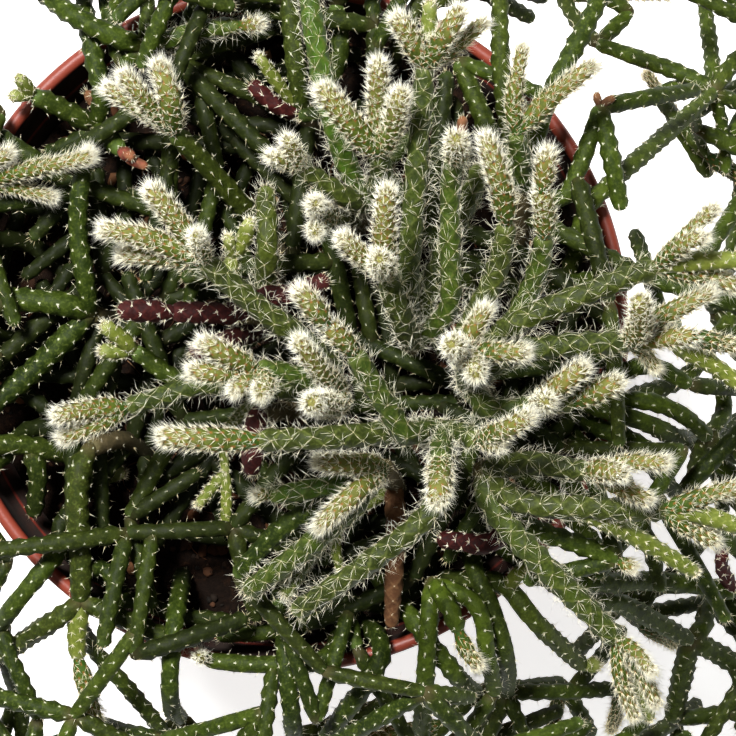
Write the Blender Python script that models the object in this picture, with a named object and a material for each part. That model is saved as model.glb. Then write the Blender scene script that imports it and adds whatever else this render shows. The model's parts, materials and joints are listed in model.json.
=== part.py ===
"""Potted Rhipsalis pilocarpa: a tapered pot, its block of soil, and the rooted
cuttings that fill it, each cutting one grown piece with all its joints.

The frame has its origin at the centre of the pot's underside, +Z up, metres.
Lengths in the tables below are millimetres.
"""

import math
import random

import bmesh
import bpy
import numpy as np
from mathutils import Vector

# ---------------------------------------------------------------- dimensions
POT_HEIGHT = 115.0
RIM_RADIUS = 65.0  # outside of the rolled rim
RIM_THICK = 2.6
RIM_DEPTH = 11.0  # height of the rim band
WALL = 1.8
FLOOR = 3.0
BODY_TOP_RADIUS = 61.6  # outside of the wall just under the rim band
FOOT_RADIUS = 44.0
DRAIN_RADIUS = 3.5
DRAIN_CIRCLE = 27.0
DRAINS = 5
SOIL_DROP = 13.0  # soil level below the rim
SOIL_GAP = 0.35  # between the soil and the pot
PLANTED = 9.0  # how deep each cutting stands in the soil
PLANTING_RADIUS = 53.5  # no foot stands nearer the wall than this
SOCKET_GAP = 0.5
STEM_GAP = 0.75  # least clear space kept between two stems
NODE_STEP = 4.6  # spacing of the points along a stem
SETTLE_STEPS = 90

SOIL_TOP = POT_HEIGHT - SOIL_DROP

# The stems are laid out on a plan drawn in perspective, 736 units square, from
# a point EYE above the foot of the pot: nearer things are drawn larger.
EYE = (15.8, -7.7, POT_HEIGHT + 560.0)
PLAN_SCALE = 2980.0
PLAN_MIDDLE = 368.0


def placed(u, v, rise):
    """The point drawn at (u, v) on the plan whose height over the rim is rise."""
    z = POT_HEIGHT + rise
    k = (EYE[2] - z) / PLAN_SCALE
    return (EYE[0] + (u - PLAN_MIDDLE) * k, EYE[1] - (v - PLAN_MIDDLE) * k, z)


# One line a stem: name, what it grows from (@ a fraction along it), kind,
# radius, then the points it passes, as plan u,v and height over the rim.
# Kinds: o old foot, m mature, l low and mature, y young and felted, g young and
# green, r reddened by the sun, b dry.
STEMS = """
A0 432,446 o 1.9 434,440,10 440,428,44
A1 A0 m 2.05 400,434,54 330,439,59 260,441,60
A1a A1 y 2.15 215,440,62 163,437,62
A2 A0 m 2.0 405,434,56 385,405,60 353,353,66
A2a A2 y 1.9 340,338,69 326,325,71
A2b A2a y 2.0 312,306,74 299,290,75
A3 A0 m 2.0 444,470,52 425,516,54 360,568,52 294,612,48
A4 A0 m 1.9 440,462,62
A4a A4 y 2.2 439,480,70 437,502,74
A5 A0 m 1.9 476,441,57
A5a A5 y 1.8 487,444,61 498,446,62
A5b A5 y 1.8 505,430,66 527,417,70
B0 486,398 o 1.9 480,392,10 470,386,42
B1 B0 m 2.1 495,335,48 560,303,52 656,266,52
B1a B1 y 1.5 690,232,56 714,208,60
B1b B1 y 1.6 680,246,58 704,237,62
B1c B1 g 1.7 695,261,53 746,260,55
B1d B1 y 2.0 692,272,50 738,286,50
B2 B0 m 2.1 500,352,50 560,342,51 630,342,50
B2a B2 y 2.1 640,325,58 640,299,66
B2b B2 y 1.8 660,318,52 712,292,54
B2c B2 y 1.8 660,338,53 694,335,55
B2d B2 y 1.5 645,352,47 656,368,46
B2e B2c y 1.8 715,342,52 740,346,50
B2f B2c@0.5 g 1.6 712,364,48 750,392,46
B3 B0 m 1.9 495,410,50 536,404,52
B3a B3 y 2.0 544,402,58 546,401,63
B3b B3 y 2.0 560,385,58 585,367,60
B3c B3 m 1.8 575,403,52
B3d B3c y 2.0 598,391,55 620,382,57
B4 B0 m 1.9 468,368,56 468,352,62
B4a B4 y 1.7 473,330,66 487,308,68
B4b B4 y 2.0 460,350,69 454,347,75
B4c B4 y 2.0 472,362,68 474,372,73
B4d B4 y 1.8 495,352,66 527,352,68
B5 B0 m 2.0 490,330,48 508,270,52 512,226,56
B5a B5 y 2.0 505,190,62 488,139,66
B6 B0 m 1.9 520,310,44 540,262,48 544,236,52
B6a B6 y 2.0 545,212,56 542,190,60
B6b B6a y 1.9 548,152,64
C0 408,328 o 1.9 410,335,8 412,345,32
C1 C0 m 2.0 402,318,46 386,276,54
C1a C1 y 2.1 382,262,60 380,256,65
C1b C1 y 1.8 362,256,58 342,238,62
C1c C1 y 2.0 384,232,62 387,193,67
C2 C0 m 1.95 408,290,38 414,200,44 425,66,50
C2a C2 y 2.0 412,40,54 397,18,57
C2b C2 g 1.4 429,30,52 430,2,53
C2c C2 y 2.0 445,36,56 460,10,58
C2d C2 y 1.6 455,46,50 484,22,50
C3 C0 m 1.8 448,310,42 450,250,48 450,190,52 455,160,56
C3a C3 y 2.1 457,148,62 457,139,67
C3b C3 b 1.1 462,130,58 463,117,59
C5 C0 m 1.9 436,270,34 462,215,38 482,166,42
D0 500,480 o 1.9 494,478,8 482,470,36
D1 D0 m 2.0 530,463,44 590,472,46
D1a D1 y 2.0 605,470,52 622,474,56
D1b D1 y 1.6 630,463,50 667,463,53
D1c D1 y 1.8 620,487,46 649,500,46
D2 D0 m 2.1 520,503,41 590,508,42 664,511,40
D2a D2 y 1.8 700,498,42 748,485,44
D2b D2 g 1.7 700,514,40 748,530,40
D2c D2 y 1.9 688,526,38 716,542,36
D3 D0 m 2.3 496,508,38 540,560,37 617,640,30
D3a D3 y 1.6 622,680,27 635,717,24
D3b D3 y 1.6 638,664,30 656,704,28
D3c D3 g 1.5 640,690,22 650,720,20
D3d D3 y 1.4 636,652,35 652,672,38
D5 D0 l 1.9 516,520,28 575,543,27 617,560,25
D5a D5 y 1.7 634,568,26
D6 D2@0.55 g 1.7 640,540,34 696,573,30
D7 D0@0.55 r 1.9 500,540,20 440,539,14
E0 352,235 o 1.9 358,225,0 368,205,22
E1 E0 m 2.0 345,160,30 325,90,37 312,18,40 306,-30,40
E2 E0 m 1.8 350,200,30 318,180,34 300,167,36
E2a E2 y 1.6 284,161,40 271,157,43
E2b E2 y 1.6 293,152,42 287,141,45
E3 E0 m 2.0 382,175,37 377,153,44
E3a E3 y 2.3 355,128,50 322,89,56
E3b E3 y 1.8 380,105,52 381,66,58
E3c E3 y 2.0 390,125,52 399,91,60
E4 E0@0.7 m 1.6 335,215,24
E4a E4 y 1.8 318,210,32 316,206,38
E4b E4 y 1.6 318,220,30 316,225,35
F0 322,412 o 1.9 330,405,6 342,394,34
F1 F0 m 2.1 302,345,44 262,313,48 204,261,52
F1a F1 y 2.0 180,225,56 150,189,60
F1b F1 y 1.9 150,239,55 103,230,57
F1c F1 y 1.9 160,256,50 121,255,50
F1d F1 y 1.5 200,248,57 196,236,62
F1e F1@0.82 g 1.4 233,258,49
F1f F1e g 1.2 230,246,52 228,237,54
F1g F1e g 1.4 243,240,52 250,221,55
F2 F0 m 1.9 302,372,42 257,368,46
F2a F2 y 2.0 228,356,51 202,343,53
F2b F2 y 1.9 225,370,49 193,368,50
F2c F2 y 1.5 245,383,50 235,391,51
F2d F2 y 1.7 268,385,51 262,393,55
F3 F0 y 1.9 322,376,46 299,344,54
F4 F0 y 2.2 322,394,50 310,393,60
F5 F0 m 1.9 265,396,28 205,389,31 127,409,31
F5a F5 y 1.9 90,411,35 57,418,38
F5b F5 y 1.7 95,426,33 62,439,33
F10 F5@0.35 g 1.1 228,436,6 226,474,3
F10a F10 g 1.1 212,490,2 198,507,2
F10b F10 g 1.1 227,502,2 226,529,1
G0 398,490 o 1.9 394,482,6 384,468,34
G1 G0 m 2.0 336,518,40 292,556,37 246,590,31
G1a G0 l 1.9 332,498,28 280,530,26 237,576,20
G2 G1@0.35 m 1.6 306,556,31 284,594,30
G3 G0 m 1.8 345,484,37 300,493,35 270,497,36
G3a G3 y 1.5 258,496,38
G4 G0 y 2.0 352,472,44 319,470,47
G5 G0 y 1.9 360,484,42 338,505,42 320,523,42
G6 G0@0.4 g 1.1 338,528,8 342,572,6
G7 G0@0.5 b 1.9 394,548,12 388,628,4
H0 150,455 o 1.8 122,440,-2 86,448,7
H1 H0 l 2.3 74,482,8 76,540,5 82,594,1
H1a H1 g 1.9 78,630,0 79,655,-1
H1b H1a y 1.8 88,690,-2 99,726,-4
H1c H1 l 1.9 120,614,1 160,636,0 188,646,0
H1d H1 l 1.6 100,640,-8 128,678,-12 158,718,-18 176,748,-26
H1e H1 l 1.9 54,614,2 28,628,-4 -6,648,-12
I0 128,330 o 1.8 110,320,-5 90,313,3
I1 I0 l 2.3 62,303,7 0,296,7 -44,286,6
I2 I0 l 1.9 86,285,8 78,235,10 80,190,12 84,166,12
I2a I2 y 1.5 88,152,15
I3 I0 l 2.2 70,334,4 35,370,3 -4,404,3 -36,430,4
I4 I1 l 1.8 -52,240,9 -34,184,12
I4a I4 y 1.6 20,172,17 92,157,20
I4b I4 y 1.4 10,186,13 53,197,13
I4c I4 y 1.5 -12,166,18 11,152,20
J0 285,250 l 2.1 262,232,-1 240,206,8 205,165,18 173,132,26
J0a J0 y 1.5 140,109,30 106,88,32
J0b J0 y 1.7 145,94,35 127,73,38
J0c J0 y 2.2 165,100,34 153,66,36
K0 135,165 o 1.8 120,150,-8 95,126,-2
K1 K0 l 2.0 70,112,1 32,94,5
K1a K1 g 1.3 20,94,7 10,96,8
K1b K1 g 1.4 27,84,8 18,76,10
K2 K0 l 1.9 102,98,4 94,60,5 86,20,4 82,-12,0
K3 K0 l 1.5 72,141,-2 45,152,-3
K4 K0 l 1.9 108,136,3 121,150,6
K4a K4 b 1.4 131,155,12
K4b K4 b 1.2 134,160,10 146,166,9
K5 K2@0.2 b 1.2 86,92,2
L0 200,95 o 1.8 175,70,-4 143,48,4
L1 L0 m 1.8 165,40,8 200,28,10 238,24,12
L1a L1 y 1.7 258,23,15
L2 L0 l 1.6 147,30,5 146,-8,4
L3 L0 l 2.0 110,38,5 72,18,4 38,-8,0
L4 L0 l 1.6 122,66,3
M0 330,150 o 1.8 315,130,-4 302,112,4
M1 M0 l 1.9 296,80,10 290,20,12 286,-26,12
M2 M0 g 1.3 281,82,11 261,54,15
M3 M0 r 1.7 277,105,8 251,83,8
M4 M0 l 1.8 330,84,2 345,48,5 342,4,6
N0 515,270 o 1.8 522,230,2 524,190,15
N1 N0 m 1.8 521,160,24 516,132,30
N1a N1 y 1.5 514,98,34 523,47,39
N1b N1 y 1.9 550,99,32 593,65,34
N2 N0 l 1.8 512,150,10 503,90,11 500,40,12 500,-6,10
N3 N0 l 1.9 540,122,15 562,72,16 590,18,14 604,-12,11
N4 N0 l 2.0 505,168,7 486,130,4 456,62,3
N5 N0 l 1.7 560,200,12 582,160,13 600,107,13
N5a N5 b 0.9 596,93,14
N5b N5 b 0.9 614,97,14
O0 560,300 l 1.75 574,250,2 585,212,6 612,183,4 652,147,-5 713,92,-24
O1 O0 l 1.6 712,60,-30 706,15,-37 704,-20,-44
O2 O0 l 1.7 690,77,-26 650,62,-28 598,44,-34
O2a O2 l 1.6 612,30,-36 630,12,-38
O2b O2 l 1.6 580,26,-40 560,-6,-46
O3 O0 l 1.4 680,86,-29 635,103,-33
O4 O0 l 1.7 738,58,-27 768,40,-31
O5 O0 l 1.3 722,128,-30 724,172,-34
O6 O0@0.9 l 1.1 700,140,-32 708,158,-34
O7 O0 l 1.6 746,108,-30 776,130,-38
P0 566,392 l 1.8 590,396,2 650,405,4 705,440,-6
P1 P0 l 1.7 722,412,-12 716,368,-14
P2 P0 l 1.8 736,458,-14 778,470,-24
P3 P0 l 1.6 694,466,-12 690,500,-18
P4 P0@0.35 l 1.8 640,362,6 688,383,4
P5 P0@0.55 l 1.7 680,378,-8 720,330,-14 744,300,-18
P6 P0@0.15 l 1.8 606,424,0 640,436,3 676,470,-4
P7 P0@0.25 l 1.8 606,372,2 636,348,4 664,326,0
P8 P0@0.1 l 1.7 592,440,-2 622,462,2 640,500,-2
Q0 500,545 l 2.0 528,566,6 566,584,2 622,604,-14 690,640,-34
Q1 Q0 l 2.2 682,678,-42 672,720,-50
Q2 Q0 l 2.1 722,656,-42 762,682,-50
Q3 Q0 l 2.0 706,622,-38 704,612,-40 742,588,-46
Q4 Q0@0.45 l 2.0 660,580,-16 734,592,-24
Q4a Q0@0.7 l 1.9 640,612,-26 602,560,-32
Q5 Q4 r 1.4 722,568,-18 722,552,-14
R0 440,600 o 1.8 438,592,-2 434,580,6
R1 R0 l 1.8 432,620,9 429,680,4 422,730,-10 417,770,-26
R2 R0 l 1.8 448,600,12 460,630,12
R3 R0 l 1.7 484,600,8 494,650,5 498,690,-3
R4 R2 y 1.7 468,650,11 480,666,10
R5 R0@0.3 l 1.9 500,585,3 535,622,3 582,666,-12
R5a R5 g 1.6 600,665,-12
R6 R5@0.35 g 1.4 528,572,8 540,566,10
X0 355,632 l 1.9 345,656,3 270,663,4 206,657,4
X1 X0 y 1.4 200,652,8
X2 X0@0.15 l 1.7 290,624,-2 210,646,-2
X3 X0@0.1 l 1.9 382,640,6 364,680,5 332,722,-4 314,752,-16
R10 R0@0.4 l 1.6 390,600,-4 352,600,-2 353,652,1
H2 H0@0.55 l 2.0 92,462,-4 62,457,-1 20,448,2 -44,444,5
H3 H2@0.2 g 1.9 98,480,-7 130,479,-6
H4 H2@0.6 l 1.9 36,480,-1 30,520,-5
H5 H1@0.8 l 1.6 100,566,0 116,590,1
H7 H0@0.6 l 1.6 84,500,-5 72,530,-4 98,560,-4 140,590,-4
H8 H1c@0.15 l 1.6 136,596,-1 188,616,-2 250,628,-3
T0 285,320 o 1.8 266,316,16 242,314,26
T1 T0 r 2.0 206,313,30 171,312,32
T2 T1 r 2.0 144,311,34 118,311,35
T3 T0 r 1.9 262,298,28 292,294,31 326,280,35
T4 T0@0.6 r 2.0 230,336,28 196,347,32
T5 T0@0.3 l 1.9 215,362,8 180,380,12 134,350,15
T5a T5 g 1.6 118,336,18 103,325,20
T5b T5 g 1.6 118,352,15 100,352,16
F8 F0@0.45 o 1.8 282,404,14 255,402,30
F9 F8 r 2.0 252,430,38 249,466,36
J1 J0@0.12 o 1.8 280,282,2 266,296,18
J2 J1 m 2.0 268,250,28 266,190,26
"""

# Stems that arch over the rim and hang outside the pot follow a rule: the heading
# of each in degrees, the stem whose foot it leaves (or none, where it is planted
# by itself), its reach past the rim and how far its end hangs below the rim.
SKIRT = (
    (9, "O0", 24, 34), (-13, "P0", 30, 58), (-31, "P0", 26, 68), (-50, "Q0", 30, 60),
    (-70, "R0", 26, 72), (-90, "X0", 30, 58), (-112, "", 24, 66), (-135, "", 28, 48),
    (-157, "H0", 24, 62), (-178, "I0", 26, 50), (163, "I0", 20, 38), (88, "L0", 26, 56),
    (68, "", 24, 66),
)
UNDERGROWTH = 150  # low branches that fill the depth of the pot
OVERHANG = 62  # branches that lie out over the rim
CURTAIN = 135  # hanging twigs that fill the plan outside the rim
# The space over the soil that they leave open for watering: lowest and highest corner.
HEADSPACE = ((12.0, 22.5, 102.4), (38.0, 44.0, 113.0))
# Places on the plan that these leave open: u, v and radius.
CLEARINGS = (
    (12, 40, 44), (58, 30, 26), (25, 578, 15), (18, 606, 18), (55, 670, 18), (135, 690, 20),
    (175, 680, 24), (218, 690, 22), (400, 660, 16), (530, 625, 24), (530, 675, 26), (568, 628, 10),
    (665, 660, 20), (705, 668, 14), (668, 360, 12), (698, 415, 14), (728, 410, 12), (595, 45, 24),
    (690, 35, 22), (590, 90, 14), (630, 135, 18), (655, 175, 26), (690, 205, 30), (655, 220, 14),
    (735, 45, 16), (50, 118, 18), (66, 88, 10), (182, 560, 20), (205, 592, 18), (48, 505, 12),
    (648, 30, 16), (652, 122, 9), (548, 36, 10), (626, 78, 10), (487, 53, 9), (567, 128, 13), (628, 296, 5),
    (18, 530, 12), (36, 566, 12), (392, 646, 8), (30, 96, 14), (575, 150, 9),
)


# ------------------------------------------------------------ stem skeleton
def pot_outside(z):
    """Outer radius of the pot at a height."""
    if z > POT_HEIGHT - RIM_DEPTH:
        return RIM_RADIUS
    return FOOT_RADIUS + (BODY_TOP_RADIUS - FOOT_RADIUS) * max(z, 0) / (POT_HEIGHT - RIM_DEPTH)


def pot_inside(z):
    if z > POT_HEIGHT - RIM_DEPTH:
        return RIM_RADIUS - RIM_THICK
    return pot_outside(z) - WALL


def smooth_line(points, step):
    """Points a step apart along the Catmull-Rom curve through the given ones."""
    p = [np.array(q, float) for q in points]
    if len(p) == 2:
        lift = np.linalg.norm(p[1] - p[0]) * 0.03
        p = [p[0], (p[0] + p[1]) / 2 + np.array([0, 0, lift]), p[1]]
    p = [2 * p[0] - p[1]] + p + [2 * p[-1] - p[-2]]
    fine = []
    for a, b, c, d in zip(p, p[1:], p[2:], p[3:]):
        for i in range(16):
            t = i / 16
            fine.append(
                0.5 * (2 * b + (c - a) * t + (2 * a - 5 * b + 4 * c - d) * t * t
                       + (3 * b - a - 3 * c + d) * t**3)
            )
    fine.append(p[-2])
    fine = np.array(fine)
    run = np.concatenate([[0], np.cumsum(np.linalg.norm(np.diff(fine, axis=0), axis=1))])
    count = max(2, int(round(run[-1] / step)) + 1)
    at = np.linspace(0, run[-1], count)
    return np.stack([np.interp(at, run, fine[:, k]) for k in range(3)], axis=1)


def along(line, fraction):
    f = fraction * (len(line) - 1)
    i = min(int(f), len(line) - 2)
    return line[i] + (line[i + 1] - line[i]) * (f - i)


def nearest_gap(line, others):
    """Least distance from a line's points to the points already placed."""
    others = others[((others > line.min(0) - 12) & (others < line.max(0) + 12)).all(1)]
    if not len(others):
        return 99.0
    d = np.linalg.norm(line[:, None, :] - others[None, :, :], axis=2)
    return float(d.min())


def inside_solids(line, radius):
    """How far the line's worst point is buried in the pot, the soil or the table."""
    worst = 0.0
    for x, y, z in line:
        rho = math.hypot(x, y)
        worst = max(worst, radius + 1.0 - z)
        if rho < RIM_RADIUS - RIM_THICK / 2:
            worst = max(worst, SOIL_TOP + radius + 0.5 - z)
            if z < POT_HEIGHT + 1:
                worst = max(worst, rho - (pot_inside(z) - radius - 0.6))
        elif z < POT_HEIGHT:
            worst = max(worst, pot_outside(z) + radius + 0.6 - rho)
        worst = max(worst, radius + 2.0 - math.hypot(rho - RIM_RADIUS + 1.3, z - POT_HEIGHT + 1.3))
    return worst


def planted_line(u, v, points):
    """A foot that stands upright in the soil, then runs through the points."""
    top = placed(u, v, -SOIL_DROP + 1.5)
    inward = min(1.0, PLANTING_RADIUS / math.hypot(top[0], top[1]))
    top = (top[0] * inward, top[1] * inward, top[2])
    foot = (top[0], top[1], SOIL_TOP - PLANTED)
    return [foot, top] + points


def above_soil(line):
    """The fraction along a planted stem from which it is clear of the soil."""
    return next(k for k, p in enumerate(line) if p[2] > SOIL_TOP + 4) / (len(line) - 1)


def layout():
    """Every stem: its cutting, kind, radius, parent, and its line of points."""
    stems, index = [], {}
    for text in STEMS.strip().splitlines():
        name, origin, kind, radius, *spots = text.split()
        points = [placed(*map(float, s.split(","))) for s in spots]
        cutting = name[0]
        if "," in origin:
            u, v = map(float, origin.split(","))
            line, parent, share = smooth_line(planted_line(u, v, points), NODE_STEP), -1, 0.0
        else:
            base, _, share = origin.partition("@")
            parent, share = index[base], float(share or 1)
            if stems[parent]["parent"] < 0:
                share = max(share, above_soil(stems[parent]["line"]))
            line = smooth_line([tuple(along(stems[parent]["line"], share))] + points, NODE_STEP)
        index[name] = len(stems)
        stems.append(dict(name=name, cutting=cutting, kind=kind, radius=float(radius),
                          parent=parent, share=share, line=line))
    rng = random.Random(11)
    skirt(stems, rng)
    fill(stems, rng, UNDERGROWTH, "inside")
    fill(stems, rng, OVERHANG, "rim")
    fill(stems, rng, CURTAIN, "outside")
    return stems


def skirt(stems, rng):
    for number, (heading, host, reach, drop) in enumerate(SKIRT):
        a = math.radians(heading)
        start = RIM_RADIUS * 0.83
        turn = rng.uniform(-0.16, 0.16)

        def spot(rho, z, extra=0.0):
            b = a + turn * (rho - start) / 30 + extra
            return (math.cos(b) * rho, math.sin(b) * rho, z)

        over = [
            spot(start + 3.5, POT_HEIGHT + 1.0),
            spot(RIM_RADIUS - 1, POT_HEIGHT + 5.5),
            spot(RIM_RADIUS + reach * 0.35, POT_HEIGHT + 1),
            spot(RIM_RADIUS + reach * 0.62, POT_HEIGHT - drop * 0.45),
        ]
        if host:
            parent = [s["name"] for s in stems].index(host)
            line = stems[parent]["line"]
            share = above_soil(line)
            cutting = stems[parent]["cutting"]
            line = smooth_line([tuple(along(line, share)), spot(start - 4, SOIL_TOP + 6)] + over, NODE_STEP)
        else:
            parent, share, cutting = -1, 0.0, "Z%d" % number
            foot = spot(start - 2, SOIL_TOP)
            line = smooth_line([(foot[0], foot[1], SOIL_TOP - PLANTED),
                                (foot[0], foot[1], SOIL_TOP + 1.5)] + over, NODE_STEP)
        first = len(stems)
        stems.append(dict(name="%s_over%d" % (cutting, number), cutting=cutting, kind="l", radius=1.8,
                          parent=parent, share=share, line=line))
        tips = [first]
        for level in range(2):
            grown = []
            for tip in tips:
                for k in range(rng.choice((2, 2, 3)) if level == 0 else 1):
                    start_at = stems[tip]["line"][-1]
                    best, best_gap = None, -99
                    placed_points = np.concatenate([s["line"] for s in stems])
                    for trial in range(14):
                        b = math.atan2(start_at[1], start_at[0]) + rng.uniform(-1.15, 1.15)
                        length = rng.uniform(15, 27) * (0.8 if level else 1)
                        fall = rng.uniform(0.1, 0.85) * length
                        out = math.sqrt(length**2 - fall**2)
                        end = start_at + np.array([math.cos(b) * out, math.sin(b) * out, -fall])
                        mid = (start_at + end) / 2 + np.array([0, 0, length * 0.1])
                        way = smooth_line([tuple(start_at), tuple(mid), tuple(end)], NODE_STEP)
                        gap = min(nearest_gap(way[2:], placed_points), 9) - 3 * inside_solids(way[1:], 1.8)
                        if gap > best_gap:
                            best, best_gap = way, gap
                    if best is None or best_gap < 3.6:
                        continue
                    kind = "y" if level and rng.random() < 0.3 else "l"
                    grown.append(len(stems))
                    stems.append(dict(name="%s_%d" % (cutting, len(stems)), cutting=cutting, kind=kind,
                                      radius=rng.uniform(1.5, 1.8), parent=tip, share=1.0, line=best))
            tips = grown


def plan_cells(line, radius, cell, margin):
    """The cells of the plan that a stem covers."""
    at = np.linspace(0, len(line) - 1, 4 * len(line))
    k = np.minimum(at.astype(int), len(line) - 2)
    p = line[k] + (line[k + 1] - line[k]) * (at - k)[:, None]
    scale = PLAN_SCALE / (EYE[2] - p[:, 2])
    u = PLAN_MIDDLE + (p[:, 0] - EYE[0]) * scale
    v = PLAN_MIDDLE - (p[:, 1] - EYE[1]) * scale
    wide = radius * scale * 0.9
    cells = set()
    for du, dv in ((0, 0), (1, 0), (-1, 0), (0, 1), (0, -1)):
        a = ((u + du * wide + margin) // cell).astype(int)
        b = ((v + dv * wide + margin) // cell).astype(int)
        cells.update(zip(a.tolist(), b.tolist()))
    return cells


def in_zone(x, y, zone):
    rho = math.hypot(x, y)
    if zone == "inside":
        return rho < RIM_RADIUS - 4
    if zone == "rim":
        return RIM_RADIUS - 7 < rho < RIM_RADIUS + 6
    return rho > RIM_RADIUS + 1


def fill(stems, rng, number, zone):
    """Twigs, each grown where it closes most of what is still open on the plan: low
    branches inside the pot, ones that lie over its rim, or hanging ones outside it."""
    cell, margin = 8, 40
    count = int((2 * PLAN_MIDDLE + 2 * margin) // cell)
    open_cells, shut = set(), set()
    for a in range(count):
        for b in range(count):
            u, v = (a + 0.5) * cell - margin, (b + 0.5) * cell - margin
            x, y, _ = placed(u, v, 0)
            gap = min(math.hypot(u - cu, v - cv) - cr for cu, cv, cr in CLEARINGS)
            if gap < 0:
                shut.add((a, b))
            elif gap > 7 and in_zone(x, y, zone):
                open_cells.add((a, b))
    for stem in stems:
        open_cells -= plan_cells(stem["line"], stem["radius"], cell, margin)
    first, grown = len(stems), {}
    for made in range(number):
        if zone == "inside":
            hosts = [k for k, s in enumerate(stems) if (s["parent"] < 0 and s["cutting"] < "Z") or k >= first]
        elif zone == "rim":
            hosts = [k for k, s in enumerate(stems)
                     if s["kind"] in "ol" and RIM_RADIUS - 20 < np.hypot(*s["line"][-1][:2]) < RIM_RADIUS + 16]
        else:
            hosts = [k for k, s in enumerate(stems)
                     if s["kind"] == "l" and np.hypot(*s["line"][-1][:2]) > RIM_RADIUS + 3 and s["line"][-1][2] > 30]
        placed_points = np.concatenate([s["line"] for s in stems])
        options = []
        for trial in range(70):
            host = rng.choice(hosts)
            line = stems[host]["line"]
            share = 1.0 if rng.random() < 0.6 and stems[host]["parent"] >= 0 else rng.uniform(0.35, 0.9)
            share = round(share * (len(line) - 1)) / (len(line) - 1)
            start_at = line[round(share * (len(line) - 1))]
            rho = np.hypot(*start_at[:2])
            if grown.get((host, share == 1.0), 0) > 2:
                continue
            length = rng.uniform(15, 30)
            if zone == "inside":
                if not SOIL_TOP + 4 < start_at[2] < POT_HEIGHT + 6 or rho > RIM_RADIUS - 7:
                    continue
                b = rng.uniform(-math.pi, math.pi)
                fall = rng.uniform(-0.22, 0.3) * length
            elif zone == "rim":
                if not POT_HEIGHT - 4 < start_at[2] < POT_HEIGHT + 26 or rho > RIM_RADIUS + 12:
                    continue
                b = rng.uniform(-math.pi, math.pi)
                fall = rng.uniform(-0.2, 0.35) * length
            else:
                if rho < RIM_RADIUS + 3:
                    continue
                b = math.atan2(start_at[1], start_at[0]) + rng.uniform(-1.9, 1.9)
                fall = rng.uniform(0.05, 0.8) * length
            out = math.sqrt(length**2 - fall**2)
            end = start_at + np.array([math.cos(b) * out, math.sin(b) * out, -fall])
            if zone == "inside" and np.hypot(*end[:2]) > RIM_RADIUS - 6:
                continue
            mid = (start_at + end) / 2 + np.array([0, 0, length * 0.08])
            way = smooth_line([tuple(start_at), tuple(mid), tuple(end)], NODE_STEP)
            cells = plan_cells(way, 1.7, cell, margin)
            options.append((len(cells & open_cells) - 3 * len(cells & shut), host, share, way, cells))
        options.sort(key=lambda o: -o[0])
        for gain, host, share, way, cells in options:
            if gain < 2:
                break
            if nearest_gap(way[2:], placed_points) < 3.7 or inside_solids(way[1:], 1.8) > 0:
                continue
            if ((way > np.array(HEADSPACE[0]) - 5) & (way < np.array(HEADSPACE[1]) + 5)).all(1).any():
                continue
            grown[(host, share == 1.0)] = grown.get((host, share == 1.0), 0) + 1
            open_cells -= cells
            kind = "y" if zone != "inside" and rng.random() < 0.16 else "l"
            cutting = stems[host]["cutting"]
            stems.append(dict(name="%s_%d" % (cutting, len(stems)), cutting=cutting, kind=kind,
                              radius=rng.uniform(1.5, 1.8), parent=host, share=share, line=way))
            break


def closest(p1, q1, p2, q2):
    """Fractions along two sets of short runs at which they come closest."""
    d1, d2, r = q1 - p1, q2 - p2, p1 - p2
    a, e = (d1 * d1).sum(1), (d2 * d2).sum(1)
    f, c, b = (d2 * r).sum(1), (d1 * r).sum(1), (d1 * d2).sum(1)
    denom = a * e - b * b
    s = np.where(denom > 1e-9, np.clip((b * f - c * e) / np.maximum(denom, 1e-9), 0, 1), 0.5)
    t = np.clip((b * s + f) / np.maximum(e, 1e-9), 0, 1)
    s = np.clip((b * t - c) / np.maximum(a, 1e-9), 0, 1)
    return s, t


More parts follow.
